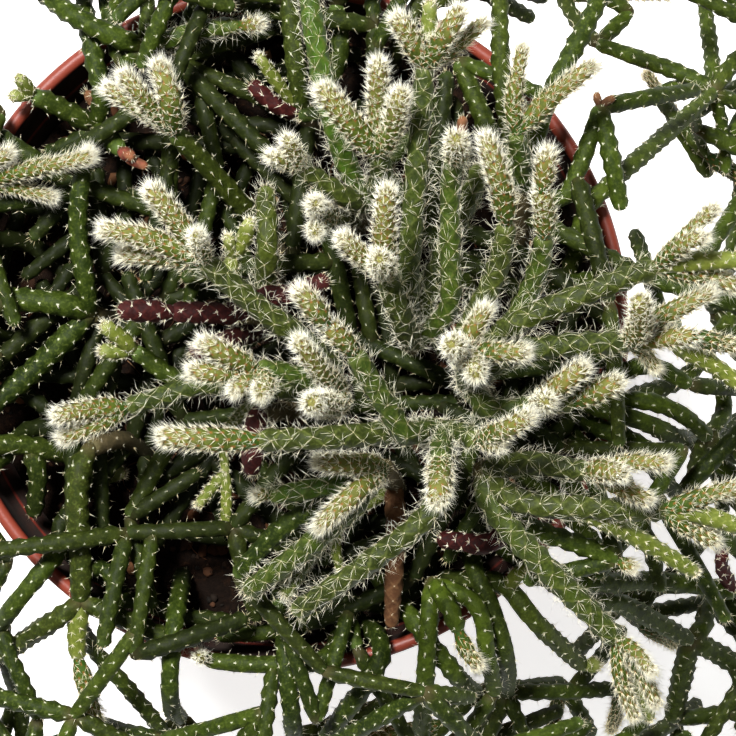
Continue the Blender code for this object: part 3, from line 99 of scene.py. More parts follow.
# One line a stem: name, what it grows from (@ a fraction along it), kind,
# radius, then the points it passes, as plan u,v and height over the rim.
# Kinds: o old foot, m mature, l low and mature, y young and felted, g young and
# green, r reddened by the sun, b dry.
STEMS = """
A0 432,446 o 1.9 434,440,10 440,428,44
A1 A0 m 2.05 400,434,54 330,439,59 260,441,60
A1a A1 y 2.15 215,440,62 163,437,62
A2 A0 m 2.0 405,434,56 385,405,60 353,353,66
A2a A2 y 1.9 340,338,69 326,325,71
A2b A2a y 2.0 312,306,74 299,290,75
A3 A0 m 2.0 444,470,52 425,516,54 360,568,52 294,612,48
A4 A0 m 1.9 440,462,62
A4a A4 y 2.2 439,480,70 437,502,74
A5 A0 m 1.9 476,441,57
A5a A5 y 1.8 487,444,61 498,446,62
A5b A5 y 1.8 505,430,66 527,417,70
B0 486,398 o 1.9 480,392,10 470,386,42
B1 B0 m 2.1 495,335,48 560,303,52 656,266,52
B1a B1 y 1.5 690,232,56 714,208,60
B1b B1 y 1.6 680,246,58 704,237,62
B1c B1 g 1.7 695,261,53 746,260,55
B1d B1 y 2.0 692,272,50 738,286,50
B2 B0 m 2.1 500,352,50 560,342,51 630,342,50
B2a B2 y 2.1 640,325,58 640,299,66
B2b B2 y 1.8 660,318,52 712,292,54
B2c B2 y 1.8 660,338,53 694,335,55
B2d B2 y 1.5 645,352,47 656,368,46
B2e B2c y 1.8 715,342,52 740,346,50
B2f B2c@0.5 g 1.6 712,364,48 750,392,46
B3 B0 m 1.9 495,410,50 536,404,52
B3a B3 y 2.0 544,402,58 546,401,63
B3b B3 y 2.0 560,385,58 585,367,60
B3c B3 m 1.8 575,403,52
B3d B3c y 2.0 598,391,55 620,382,57
B4 B0 m 1.9 468,368,56 468,352,62
B4a B4 y 1.7 473,330,66 487,308,68
B4b B4 y 2.0 460,350,69 454,347,75
B4c B4 y 2.0 472,362,68 474,372,73
B4d B4 y 1.8 495,352,66 527,352,68
B5 B0 m 2.0 490,330,48 508,270,52 512,226,56
B5a B5 y 2.0 505,190,62 488,139,66
B6 B0 m 1.9 520,310,44 540,262,48 544,236,52
B6a B6 y 2.0 545,212,56 542,190,60
B6b B6a y 1.9 548,152,64
C0 408,328 o 1.9 410,335,8 412,345,32
C1 C0 m 2.0 402,318,46 386,276,54
C1a C1 y 2.1 382,262,60 380,256,65
C1b C1 y 1.8 362,256,58 342,238,62
C1c C1 y 2.0 384,232,62 387,193,67
C2 C0 m 1.95 408,290,38 414,200,44 425,66,50
C2a C2 y 2.0 412,40,54 397,18,57
C2b C2 g 1.4 429,30,52 430,2,53
C2c C2 y 2.0 445,36,56 460,10,58
C2d C2 y 1.6 455,46,50 484,22,50
C3 C0 m 1.8 448,310,42 450,250,48 450,190,52 455,160,56
C3a C3 y 2.1 457,148,62 457,139,67
C3b C3 b 1.1 462,130,58 463,117,59
C5 C0 m 1.9 436,270,34 462,215,38 482,166,42
D0 500,480 o 1.9 494,478,8 482,470,36
D1 D0 m 2.0 530,463,44 590,472,46
D1a D1 y 2.0 605,470,52 622,474,56
D1b D1 y 1.6 630,463,50 667,463,53
D1c D1 y 1.8 620,487,46 649,500,46
D2 D0 m 2.1 520,503,41 590,508,42 664,511,40
D2a D2 y 1.8 700,498,42 748,485,44
D2b D2 g 1.7 700,514,40 748,530,40
D2c D2 y 1.9 688,526,38 716,542,36
D3 D0 m 2.3 496,508,38 540,560,37 617,640,30
D3a D3 y 1.6 622,680,27 635,717,24
D3b D3 y 1.6 638,664,30 656,704,28
D3c D3 g 1.5 640,690,22 650,720,20
D3d D3 y 1.4 636,652,35 652,672,38
D5 D0 l 1.9 516,520,28 575,543,27 617,560,25
D5a D5 y 1.7 634,568,26
D6 D2@0.55 g 1.7 640,540,34 696,573,30
D7 D0@0.55 r 1.9 500,540,20 440,539,14
E0 352,235 o 1.9 358,225,0 368,205,22
E1 E0 m 2.0 345,160,30 325,90,37 312,18,40 306,-30,40
E2 E0 m 1.8 350,200,30 318,180,34 300,167,36
E2a E2 y 1.6 284,161,40 271,157,43
E2b E2 y 1.6 293,152,42 287,141,45
E3 E0 m 2.0 382,175,37 377,153,44
E3a E3 y 2.3 355,128,50 322,89,56
E3b E3 y 1.8 380,105,52 381,66,58
E3c E3 y 2.0 390,125,52 399,91,60
E4 E0@0.7 m 1.6 335,215,24
E4a E4 y 1.8 318,210,32 316,206,38
E4b E4 y 1.6 318,220,30 316,225,35
F0 322,412 o 1.9 330,405,6 342,394,34
F1 F0 m 2.1 302,345,44 262,313,48 204,261,52
F1a F1 y 2.0 180,225,56 150,189,60
F1b F1 y 1.9 150,239,55 103,230,57
F1c F1 y 1.9 160,256,50 121,255,50
F1d F1 y 1.5 200,248,57 196,236,62
F1e F1@0.82 g 1.4 233,258,49
F1f F1e g 1.2 230,246,52 228,237,54
F1g F1e g 1.4 243,240,52 250,221,55
F2 F0 m 1.9 302,372,42 257,368,46
F2a F2 y 2.0 228,356,51 202,343,53
F2b F2 y 1.9 225,370,49 193,368,50
F2c F2 y 1.5 245,383,50 235,391,51
F2d F2 y 1.7 268,385,51 262,393,55
F3 F0 y 1.9 322,376,46 299,344,54
F4 F0 y 2.2 322,394,50 310,393,60
F5 F0 m 1.9 265,396,28 205,389,31 127,409,31
F5a F5 y 1.9 90,411,35 57,418,38
F5b F5 y 1.7 95,426,33 62,439,33
F10 F5@0.35 g 1.1 228,436,6 226,474,3
F10a F10 g 1.1 212,490,2 198,507,2
F10b F10 g 1.1 227,502,2 226,529,1
G0 398,490 o 1.9 394,482,6 384,468,34
G1 G0 m 2.0 336,518,40 292,556,37 246,590,31
G1a G0 l 1.9 332,498,28 280,530,26 237,576,20
G2 G1@0.35 m 1.6 306,556,31 284,594,30
G3 G0 m 1.8 345,484,37 300,493,35 270,497,36
G3a G3 y 1.5 258,496,38
G4 G0 y 2.0 352,472,44 319,470,47
G5 G0 y 1.9 360,484,42 338,505,42 320,523,42
G6 G0@0.4 g 1.1 338,528,8 342,572,6
G7 G0@0.5 b 1.9 394,548,12 388,628,4
H0 150,455 o 1.8 122,440,-2 86,448,7
H1 H0 l 2.3 74,482,8 76,540,5 82,594,1
H1a H1 g 1.9 78,630,0 79,655,-1
H1b H1a y 1.8 88,690,-2 99,726,-4
H1c H1 l 1.9 120,614,1 160,636,0 188,646,0
H1d H1 l 1.6 100,640,-8 128,678,-12 158,718,-18 176,748,-26
H1e H1 l 1.9 54,614,2 28,628,-4 -6,648,-12
I0 128,330 o 1.8 110,320,-5 90,313,3
I1 I0 l 2.3 62,303,7 0,296,7 -44,286,6
I2 I0 l 1.9 86,285,8 78,235,10 80,190,12 84,166,12
I2a I2 y 1.5 88,152,15
I3 I0 l 2.2 70,334,4 35,370,3 -4,404,3 -36,430,4
I4 I1 l 1.8 -52,240,9 -34,184,12
I4a I4 y 1.6 20,172,17 92,157,20
I4b I4 y 1.4 10,186,13 53,197,13
I4c I4 y 1.5 -12,166,18 11,152,20
J0 285,250 l 2.1 262,232,-1 240,206,8 205,165,18 173,132,26
J0a J0 y 1.5 140,109,30 106,88,32
J0b J0 y 1.7 145,94,35 127,73,38
J0c J0 y 2.2 165,100,34 153,66,36
K0 135,165 o 1.8 120,150,-8 95,126,-2
K1 K0 l 2.0 70,112,1 32,94,5
K1a K1 g 1.3 20,94,7 10,96,8
K1b K1 g 1.4 27,84,8 18,76,10
K2 K0 l 1.9 102,98,4 94,60,5 86,20,4 82,-12,0
K3 K0 l 1.5 72,141,-2 45,152,-3
K4 K0 l 1.9 108,136,3 121,150,6
K4a K4 b 1.4 131,155,12
K4b K4 b 1.2 134,160,10 146,166,9
K5 K2@0.2 b 1.2 86,92,2
L0 200,95 o 1.8 175,70,-4 143,48,4
L1 L0 m 1.8 165,40,8 200,28,10 238,24,12
L1a L1 y 1.7 258,23,15
L2 L0 l 1.6 147,30,5 146,-8,4
L3 L0 l 2.0 110,38,5 72,18,4 38,-8,0
L4 L0 l 1.6 122,66,3
M0 330,150 o 1.8 315,130,-4 302,112,4
M1 M0 l 1.9 296,80,10 290,20,12 286,-26,12
M2 M0 g 1.3 281,82,11 261,54,15
M3 M0 r 1.7 277,105,8 251,83,8
M4 M0 l 1.8 330,84,2 345,48,5 342,4,6
N0 515,270 o 1.8 522,230,2 524,190,15
N1 N0 m 1.8 521,160,24 516,132,30
N1a N1 y 1.5 514,98,34 523,47,39
N1b N1 y 1.9 550,99,32 593,65,34
N2 N0 l 1.8 512,150,10 503,90,11 500,40,12 500,-6,10
N3 N0 l 1.9 540,122,15 562,72,16 590,18,14 604,-12,11
N4 N0 l 2.0 505,168,7 486,130,4 456,62,3
N5 N0 l 1.7 560,200,12 582,160,13 600,107,13
N5a N5 b 0.9 596,93,14
N5b N5 b 0.9 614,97,14
O0 560,300 l 1.75 574,250,2 585,212,6 612,183,4 652,147,-5 713,92,-24
O1 O0 l 1.6 712,60,-30 706,15,-37 704,-20,-44
O2 O0 l 1.7 690,77,-26 650,62,-28 598,44,-34
O2a O2 l 1.6 612,30,-36 630,12,-38
O2b O2 l 1.6 580,26,-40 560,-6,-46
O3 O0 l 1.4 680,86,-29 635,103,-33
O4 O0 l 1.7 738,58,-27 768,40,-31
O5 O0 l 1.3 722,128,-30 724,172,-34
O6 O0@0.9 l 1.1 700,140,-32 708,158,-34
O7 O0 l 1.6 746,108,-30 776,130,-38
P0 566,392 l 1.8 590,396,2 650,405,4 705,440,-6
P1 P0 l 1.7 722,412,-12 716,368,-14
P2 P0 l 1.8 736,458,-14 778,470,-24
P3 P0 l 1.6 694,466,-12 690,500,-18
P4 P0@0.35 l 1.8 640,362,6 688,383,4
P5 P0@0.55 l 1.7 680,378,-8 720,330,-14 744,300,-18
P6 P0@0.15 l 1.8 606,424,0 640,436,3 676,470,-4
P7 P0@0.25 l 1.8 606,372,2 636,348,4 664,326,0
P8 P0@0.1 l 1.7 592,440,-2 622,462,2 640,500,-2
Q0 500,545 l 2.0 528,566,6 566,584,2 622,604,-14 690,640,-34
Q1 Q0 l 2.2 682,678,-42 672,720,-50
Q2 Q0 l 2.1 722,656,-42 762,682,-50
Q3 Q0 l 2.0 706,622,-38 704,612,-40 742,588,-46
Q4 Q0@0.45 l 2.0 660,580,-16 734,592,-24
Q4a Q0@0.7 l 1.9 640,612,-26 602,560,-32
Q5 Q4 r 1.4 722,568,-18 722,552,-14
R0 440,600 o 1.8 438,592,-2 434,580,6
R1 R0 l 1.8 432,620,9 429,680,4 422,730,-10 417,770,-26
R2 R0 l 1.8 448,600,12 460,630,12
R3 R0 l 1.7 484,600,8 494,650,5 498,690,-3
R4 R2 y 1.7 468,650,11 480,666,10
R5 R0@0.3 l 1.9 500,585,3 535,622,3 582,666,-12
R5a R5 g 1.6 600,665,-12
R6 R5@0.35 g 1.4 528,572,8 540,566,10
X0 355,632 l 1.9 345,656,3 270,663,4 206,657,4
X1 X0 y 1.4 200,652,8
X2 X0@0.15 l 1.7 290,624,-2 210,646,-2
X3 X0@0.1 l 1.9 382,640,6 364,680,5 332,722,-4 314,752,-16
R10 R0@0.4 l 1.6 390,600,-4 352,600,-2 353,652,1
H2 H0@0.55 l 2.0 92,462,-4 62,457,-1 20,448,2 -44,444,5
H3 H2@0.2 g 1.9 98,480,-7 130,479,-6
H4 H2@0.6 l 1.9 36,480,-1 30,520,-5
H5 H1@0.8 l 1.6 100,566,0 116,590,1
H7 H0@0.6 l 1.6 84,500,-5 72,530,-4 98,560,-4 140,590,-4
H8 H1c@0.15 l 1.6 136,596,-1 188,616,-2 250,628,-3
T0 285,320 o 1.8 266,316,16 242,314,26
T1 T0 r 2.0 206,313,30 171,312,32
T2 T1 r 2.0 144,311,34 118,311,35
T3 T0 r 1.9 262,298,28 292,294,31 326,280,35
T4 T0@0.6 r 2.0 230,336,28 196,347,32
T5 T0@0.3 l 1.9 215,362,8 180,380,12 134,350,15
T5a T5 g 1.6 118,336,18 103,325,20
T5b T5 g 1.6 118,352,15 100,352,16
F8 F0@0.45 o 1.8 282,404,14 255,402,30
F9 F8 r 2.0 252,430,38 249,466,36
J1 J0@0.12 o 1.8 280,282,2 266,296,18
J2 J1 m 2.0 268,250,28 266,190,26
"""

# Stems that arch over the rim and hang outside the pot follow a rule: the heading
# of each in degrees, the stem whose foot it leaves (or none, where it is planted
# by itself), its reach past the rim and how far its end hangs below the rim.
SKIRT = (
    (9, "O0", 24, 34), (-13, "P0", 30, 58), (-31, "P0", 26, 68), (-50, "Q0", 30, 60),
    (-70, "R0", 26, 72), (-90, "X0", 30, 58), (-112, "", 24, 66), (-135, "", 28, 48),
    (-157, "H0", 24, 62), (-178, "I0", 26, 50), (163, "I0", 20, 38), (88, "L0", 26, 56),
    (68, "", 24, 66),
)
UNDERGROWTH = 150  # low branches that fill the depth of the pot
OVERHANG = 62  # branches that lie out over the rim
CURTAIN = 135  # hanging twigs that fill the plan outside the rim
# The space over the soil that they leave open for watering: lowest and highest corner.
HEADSPACE = ((12.0, 22.5, 102.4), (38.0, 44.0, 113.0))
# Places on the plan that these leave open: u, v and radius.
CLEARINGS = (
    (12, 40, 44), (58, 30, 26), (25, 578, 15), (18, 606, 18), (55, 670, 18), (135, 690, 20),
    (175, 680, 24), (218, 690, 22), (400, 660, 16), (530, 625, 24), (530, 675, 26), (568, 628, 10),
    (665, 660, 20), (705, 668, 14), (668, 360, 12), (698, 415, 14), (728, 410, 12), (595, 45, 24),
    (690, 35, 22), (590, 90, 14), (630, 135, 18), (655, 175, 26), (690, 205, 30), (655, 220, 14),
    (735, 45, 16), (50, 118, 18), (66, 88, 10), (182, 560, 20), (205, 592, 18), (48, 505, 12),
    (648, 30, 16), (652, 122, 9), (548, 36, 10), (626, 78, 10), (487, 53, 9), (567, 128, 13), (628, 296, 5),
    (18, 530, 12), (36, 566, 12), (392, 646, 8), (30, 96, 14), (575, 150, 9),
)


# ------------------------------------------------------------ stem skeleton
def pot_outside(z):
    """Outer radius of the pot at a height."""
    if z > POT_HEIGHT - RIM_DEPTH:
        return RIM_RADIUS
    return FOOT_RADIUS + (BODY_TOP_RADIUS - FOOT_RADIUS) * max(z, 0) / (POT_HEIGHT - RIM_DEPTH)


def pot_inside(z):
    if z > POT_HEIGHT - RIM_DEPTH:
        return RIM_RADIUS - RIM_THICK
    return pot_outside(z) - WALL


def smooth_line(points, step):
    """Points a step apart along the Catmull-Rom curve through the given ones."""
    p = [np.array(q, float) for q in points]
    if len(p) == 2:
        lift = np.linalg.norm(p[1] - p[0]) * 0.03
        p = [p[0], (p[0] + p[1]) / 2 + np.array([0, 0, lift]), p[1]]
    p = [2 * p[0] - p[1]] + p + [2 * p[-1] - p[-2]]
    fine = []
    for a, b, c, d in zip(p, p[1:], p[2:], p[3:]):
        for i in range(16):
            t = i / 16
            fine.append(
                0.5 * (2 * b + (c - a) * t + (2 * a - 5 * b + 4 * c - d) * t * t
                       + (3 * b - a - 3 * c + d) * t**3)
            )
    fine.append(p[-2])
    fine = np.array(fine)
    run = np.concatenate([[0], np.cumsum(np.linalg.norm(np.diff(fine, axis=0), axis=1))])
    count = max(2, int(round(run[-1] / step)) + 1)
    at = np.linspace(0, run[-1], count)
    return np.stack([np.interp(at, run, fine[:, k]) for k in range(3)], axis=1)


def along(line, fraction):
    f = fraction * (len(line) - 1)
    i = min(int(f), len(line) - 2)
    return line[i] + (line[i + 1] - line[i]) * (f - i)


def nearest_gap(line, others):
    """Least distance from a line's points to the points already placed."""
    others = others[((others > line.min(0) - 12) & (others < line.max(0) + 12)).all(1)]
    if not len(others):
        return 99.0
    d = np.linalg.norm(line[:, None, :] - others[None, :, :], axis=2)
    return float(d.min())


def inside_solids(line, radius):
    """How far the line's worst point is buried in the pot, the soil or the table."""
    worst = 0.0
    for x, y, z in line:
        rho = math.hypot(x, y)
        worst = max(worst, radius + 1.0 - z)
        if rho < RIM_RADIUS - RIM_THICK / 2:
            worst = max(worst, SOIL_TOP + radius + 0.5 - z)
            if z < POT_HEIGHT + 1:
                worst = max(worst, rho - (pot_inside(z) - radius - 0.6))
        elif z < POT_HEIGHT:
            worst = max(worst, pot_outside(z) + radius + 0.6 - rho)
        worst = max(worst, radius + 2.0 - math.hypot(rho - RIM_RADIUS + 1.3, z - POT_HEIGHT + 1.3))
    return worst


def planted_line(u, v, points):
    """A foot that stands upright in the soil, then runs through the points."""
    top = placed(u, v, -SOIL_DROP + 1.5)
    inward = min(1.0, PLANTING_RADIUS / math.hypot(top[0], top[1]))
    top = (top[0] * inward, top[1] * inward, top[2])
    foot = (top[0], top[1], SOIL_TOP - PLANTED)
    return [foot, top] + points


def above_soil(line):
    """The fraction along a planted stem from which it is clear of the soil."""
    return next(k for k, p in enumerate(line) if p[2] > SOIL_TOP + 4) / (len(line) - 1)


def layout():
    """Every stem: its cutting, kind, radius, parent, and its line of points."""
    stems, index = [], {}
    for text in STEMS.strip().splitlines():
        name, origin, kind, radius, *spots = text.split()
        points = [placed(*map(float, s.split(","))) for s in spots]
        cutting = name[0]
        if "," in origin:
            u, v = map(float, origin.split(","))
            line, parent, share = smooth_line(planted_line(u, v, points), NODE_STEP), -1, 0.0
        else:
            base, _, share = origin.partition("@")
            parent, share = index[base], float(share or 1)
            if stems[parent]["parent"] < 0:
                share = max(share, above_soil(stems[parent]["line"]))
            line = smooth_line([tuple(along(stems[parent]["line"], share))] + points, NODE_STEP)
        index[name] = len(stems)
        stems.append(dict(name=name, cutting=cutting, kind=kind, radius=float(radius),
                          parent=parent, share=share, line=line))
    rng = random.Random(11)
    skirt(stems, rng)
    fill(stems, rng, UNDERGROWTH, "inside")
    fill(stems, rng, OVERHANG, "rim")
    fill(stems, rng, CURTAIN, "outside")
    return stems


def skirt(stems, rng):
    for number, (heading, host, reach, drop) in enumerate(SKIRT):
        a = math.radians(heading)
        start = RIM_RADIUS * 0.83
        turn = rng.uniform(-0.16, 0.16)

        def spot(rho, z, extra=0.0):
            b = a + turn * (rho - start) / 30 + extra
            return (math.cos(b) * rho, math.sin(b) * rho, z)

        over = [
            spot(start + 3.5, POT_HEIGHT + 1.0),
            spot(RIM_RADIUS - 1, POT_HEIGHT + 5.5),
            spot(RIM_RADIUS + reach * 0.35, POT_HEIGHT + 1),
            spot(RIM_RADIUS + reach * 0.62, POT_HEIGHT - drop * 0.45),
        ]
        if host:
            parent = [s["name"] for s in stems].index(host)
            line = stems[parent]["line"]
            share = above_soil(line)
            cutting = stems[parent]["cutting"]
            line = smooth_line([tuple(along(line, share)), spot(start - 4, SOIL_TOP + 6)] + over, NODE_STEP)
        else:
            parent, share, cutting = -1, 0.0, "Z%d" % number
            foot = spot(start - 2, SOIL_TOP)
            line = smooth_line([(foot[0], foot[1], SOIL_TOP - PLANTED),
                                (foot[0], foot[1], SOIL_TOP + 1.5)] + over, NODE_STEP)
        first = len(stems)
        stems.append(dict(name="%s_over%d" % (cutting, number), cutting=cutting, kind="l", radius=1.8,
                          parent=parent, share=share, line=line))
        tips = [first]
        for level in range(2):
            grown = []
            for tip in tips:
                for k in range(rng.choice((2, 2, 3)) if level == 0 else 1):
                    start_at = stems[tip]["line"][-1]
                    best, best_gap = None, -99
                    placed_points = np.concatenate([s["line"] for s in stems])
                    for trial in range(14):
                        b = math.atan2(start_at[1], start_at[0]) + rng.uniform(-1.15, 1.15)
                        length = rng.uniform(15, 27) * (0.8 if level else 1)
                        fall = rng.uniform(0.1, 0.85) * length
                        out = math.sqrt(length**2 - fall**2)
                        end = start_at + np.array([math.cos(b) * out, math.sin(b) * out, -fall])
                        mid = (start_at + end) / 2 + np.array([0, 0, length * 0.1])
                        way = smooth_line([tuple(start_at), tuple(mid), tuple(end)], NODE_STEP)
                        gap = min(nearest_gap(way[2:], placed_points), 9) - 3 * inside_solids(way[1:], 1.8)
                        if gap > best_gap:
                            best, best_gap = way, gap
                    if best is None or best_gap < 3.6:
                        continue
                    kind = "y" if level and rng.random() < 0.3 else "l"
                    grown.append(len(stems))
                    stems.append(dict(name="%s_%d" % (cutting, len(stems)), cutting=cutting, kind=kind,
                                      radius=rng.uniform(1.5, 1.8), parent=tip, share=1.0, line=best))
            tips = grown


def plan_cells(line, radius, cell, margin):
    """The cells of the plan that a stem covers."""
    at = np.linspace(0, len(line) - 1, 4 * len(line))
    k = np.minimum(at.astype(int), len(line) - 2)
    p = line[k] + (line[k + 1] - line[k]) * (at - k)[:, None]
    scale = PLAN_SCALE / (EYE[2] - p[:, 2])
    u = PLAN_MIDDLE + (p[:, 0] - EYE[0]) * scale
    v = PLAN_MIDDLE - (p[:, 1] - EYE[1]) * scale
    wide = radius * scale * 0.9
    cells = set()
    for du, dv in ((0, 0), (1, 0), (-1, 0), (0, 1), (0, -1)):
        a = ((u + du * wide + margin) // cell).astype(int)
        b = ((v + dv * wide + margin) // cell).astype(int)
        cells.update(zip(a.tolist(), b.tolist()))
    return cells


def in_zone(x, y, zone):
    rho = math.hypot(x, y)
    if zone == "inside":
        return rho < RIM_RADIUS - 4
    if zone == "rim":
        return RIM_RADIUS - 7 < rho < RIM_RADIUS + 6
    return rho > RIM_RADIUS + 1


def fill(stems, rng, number, zone):
    """Twigs, each grown where it closes most of what is still open on the plan: low
    branches inside the pot, ones that lie over its rim, or hanging ones outside it."""
    cell, margin = 8, 40
    count = int((2 * PLAN_MIDDLE + 2 * margin) // cell)
    open_cells, shut = set(), set()
    for a in range(count):
        for b in range(count):
            u, v = (a + 0.5) * cell - margin, (b + 0.5) * cell - margin
            x, y, _ = placed(u, v, 0)
            gap = min(math.hypot(u - cu, v - cv) - cr for cu, cv, cr in CLEARINGS)
            if gap < 0:
                shut.add((a, b))
            elif gap > 7 and in_zone(x, y, zone):
                open_cells.add((a, b))
    for stem in stems:
        open_cells -= plan_cells(stem["line"], stem["radius"], cell, margin)
    first, grown = len(stems), {}
    for made in range(number):
        if zone == "inside":
            hosts = [k for k, s in enumerate(stems) if (s["parent"] < 0 and s["cutting"] < "Z") or k >= first]
        elif zone == "rim":
            hosts = [k for k, s in enumerate(stems)
                     if s["kind"] in "ol" and RIM_RADIUS - 20 < np.hypot(*s["line"][-1][:2]) < RIM_RADIUS + 16]
        else:
            hosts = [k for k, s in enumerate(stems)
                     if s["kind"] == "l" and np.hypot(*s["line"][-1][:2]) > RIM_RADIUS + 3 and s["line"][-1][2] > 30]
        placed_points = np.concatenate([s["line"] for s in stems])
        options = []
        for trial in range(70):
            host = rng.choice(hosts)
            line = stems[host]["line"]
            share = 1.0 if rng.random() < 0.6 and stems[host]["parent"] >= 0 else rng.uniform(0.35, 0.9)
            share = round(share * (len(line) - 1)) / (len(line) - 1)
            start_at = line[round(share * (len(line) - 1))]
            rho = np.hypot(*start_at[:2])
            if grown.get((host, share == 1.0), 0) > 2:
                continue
            length = rng.uniform(15, 30)
            if zone == "inside":
                if not SOIL_TOP + 4 < start_at[2] < POT_HEIGHT + 6 or rho > RIM_RADIUS - 7:
                    continue
                b = rng.uniform(-math.pi, math.pi)
                fall = rng.uniform(-0.22, 0.3) * length
            elif zone == "rim":
                if not POT_HEIGHT - 4 < start_at[2] < POT_HEIGHT + 26 or rho > RIM_RADIUS + 12:
                    continue
                b = rng.uniform(-math.pi, math.pi)
                fall = rng.uniform(-0.2, 0.35) * length
            else:
                if rho < RIM_RADIUS + 3:
                    continue
                b = math.atan2(start_at[1], start_at[0]) + rng.uniform(-1.9, 1.9)
                fall = rng.uniform(0.05, 0.8) * length
            out = math.sqrt(length**2 - fall**2)
            end = start_at + np.array([math.cos(b) * out, math.sin(b) * out, -fall])
            if zone == "inside" and np.hypot(*end[:2]) > RIM_RADIUS - 6:
                continue
            mid = (start_at + end) / 2 + np.array([0, 0, length * 0.08])
            way = smooth_line([tuple(start_at), tuple(mid), tuple(end)], NODE_STEP)
            cells = plan_cells(way, 1.7, cell, margin)
            options.append((len(cells & open_cells) - 3 * len(cells & shut), host, share, way, cells))
        options.sort(key=lambda o: -o[0])
        for gain, host, share, way, cells in options:
            if gain < 2:
                break
            if nearest_gap(way[2:], placed_points) < 3.7 or inside_solids(way[1:], 1.8) > 0:
                continue
            if ((way > np.array(HEADSPACE[0]) - 5) & (way < np.array(HEADSPACE[1]) + 5)).all(1).any():
                continue
            grown[(host, share == 1.0)] = grown.get((host, share == 1.0), 0) + 1
            open_cells -= cells
            kind = "y" if zone != "inside" and rng.random() < 0.16 else "l"
            cutting = stems[host]["cutting"]
            stems.append(dict(name="%s_%d" % (cutting, len(stems)), cutting=cutting, kind=kind,
                              radius=rng.uniform(1.5, 1.8), parent=host, share=share, line=way))
            break


def closest(p1, q1, p2, q2):
    """Fractions along two sets of short runs at which they come closest."""
    d1, d2, r = q1 - p1, q2 - p2, p1 - p2
    a, e = (d1 * d1).sum(1), (d2 * d2).sum(1)
    f, c, b = (d2 * r).sum(1), (d1 * r).sum(1), (d1 * d2).sum(1)
    denom = a * e - b * b
    s = np.where(denom > 1e-9, np.clip((b * f - c * e) / np.maximum(denom, 1e-9), 0, 1), 0.5)
    t = np.clip((b * s + f) / np.maximum(e, 1e-9), 0, 1)
    s = np.clip((b * t - c) / np.maximum(a, 1e-9), 0, 1)
    return s, t


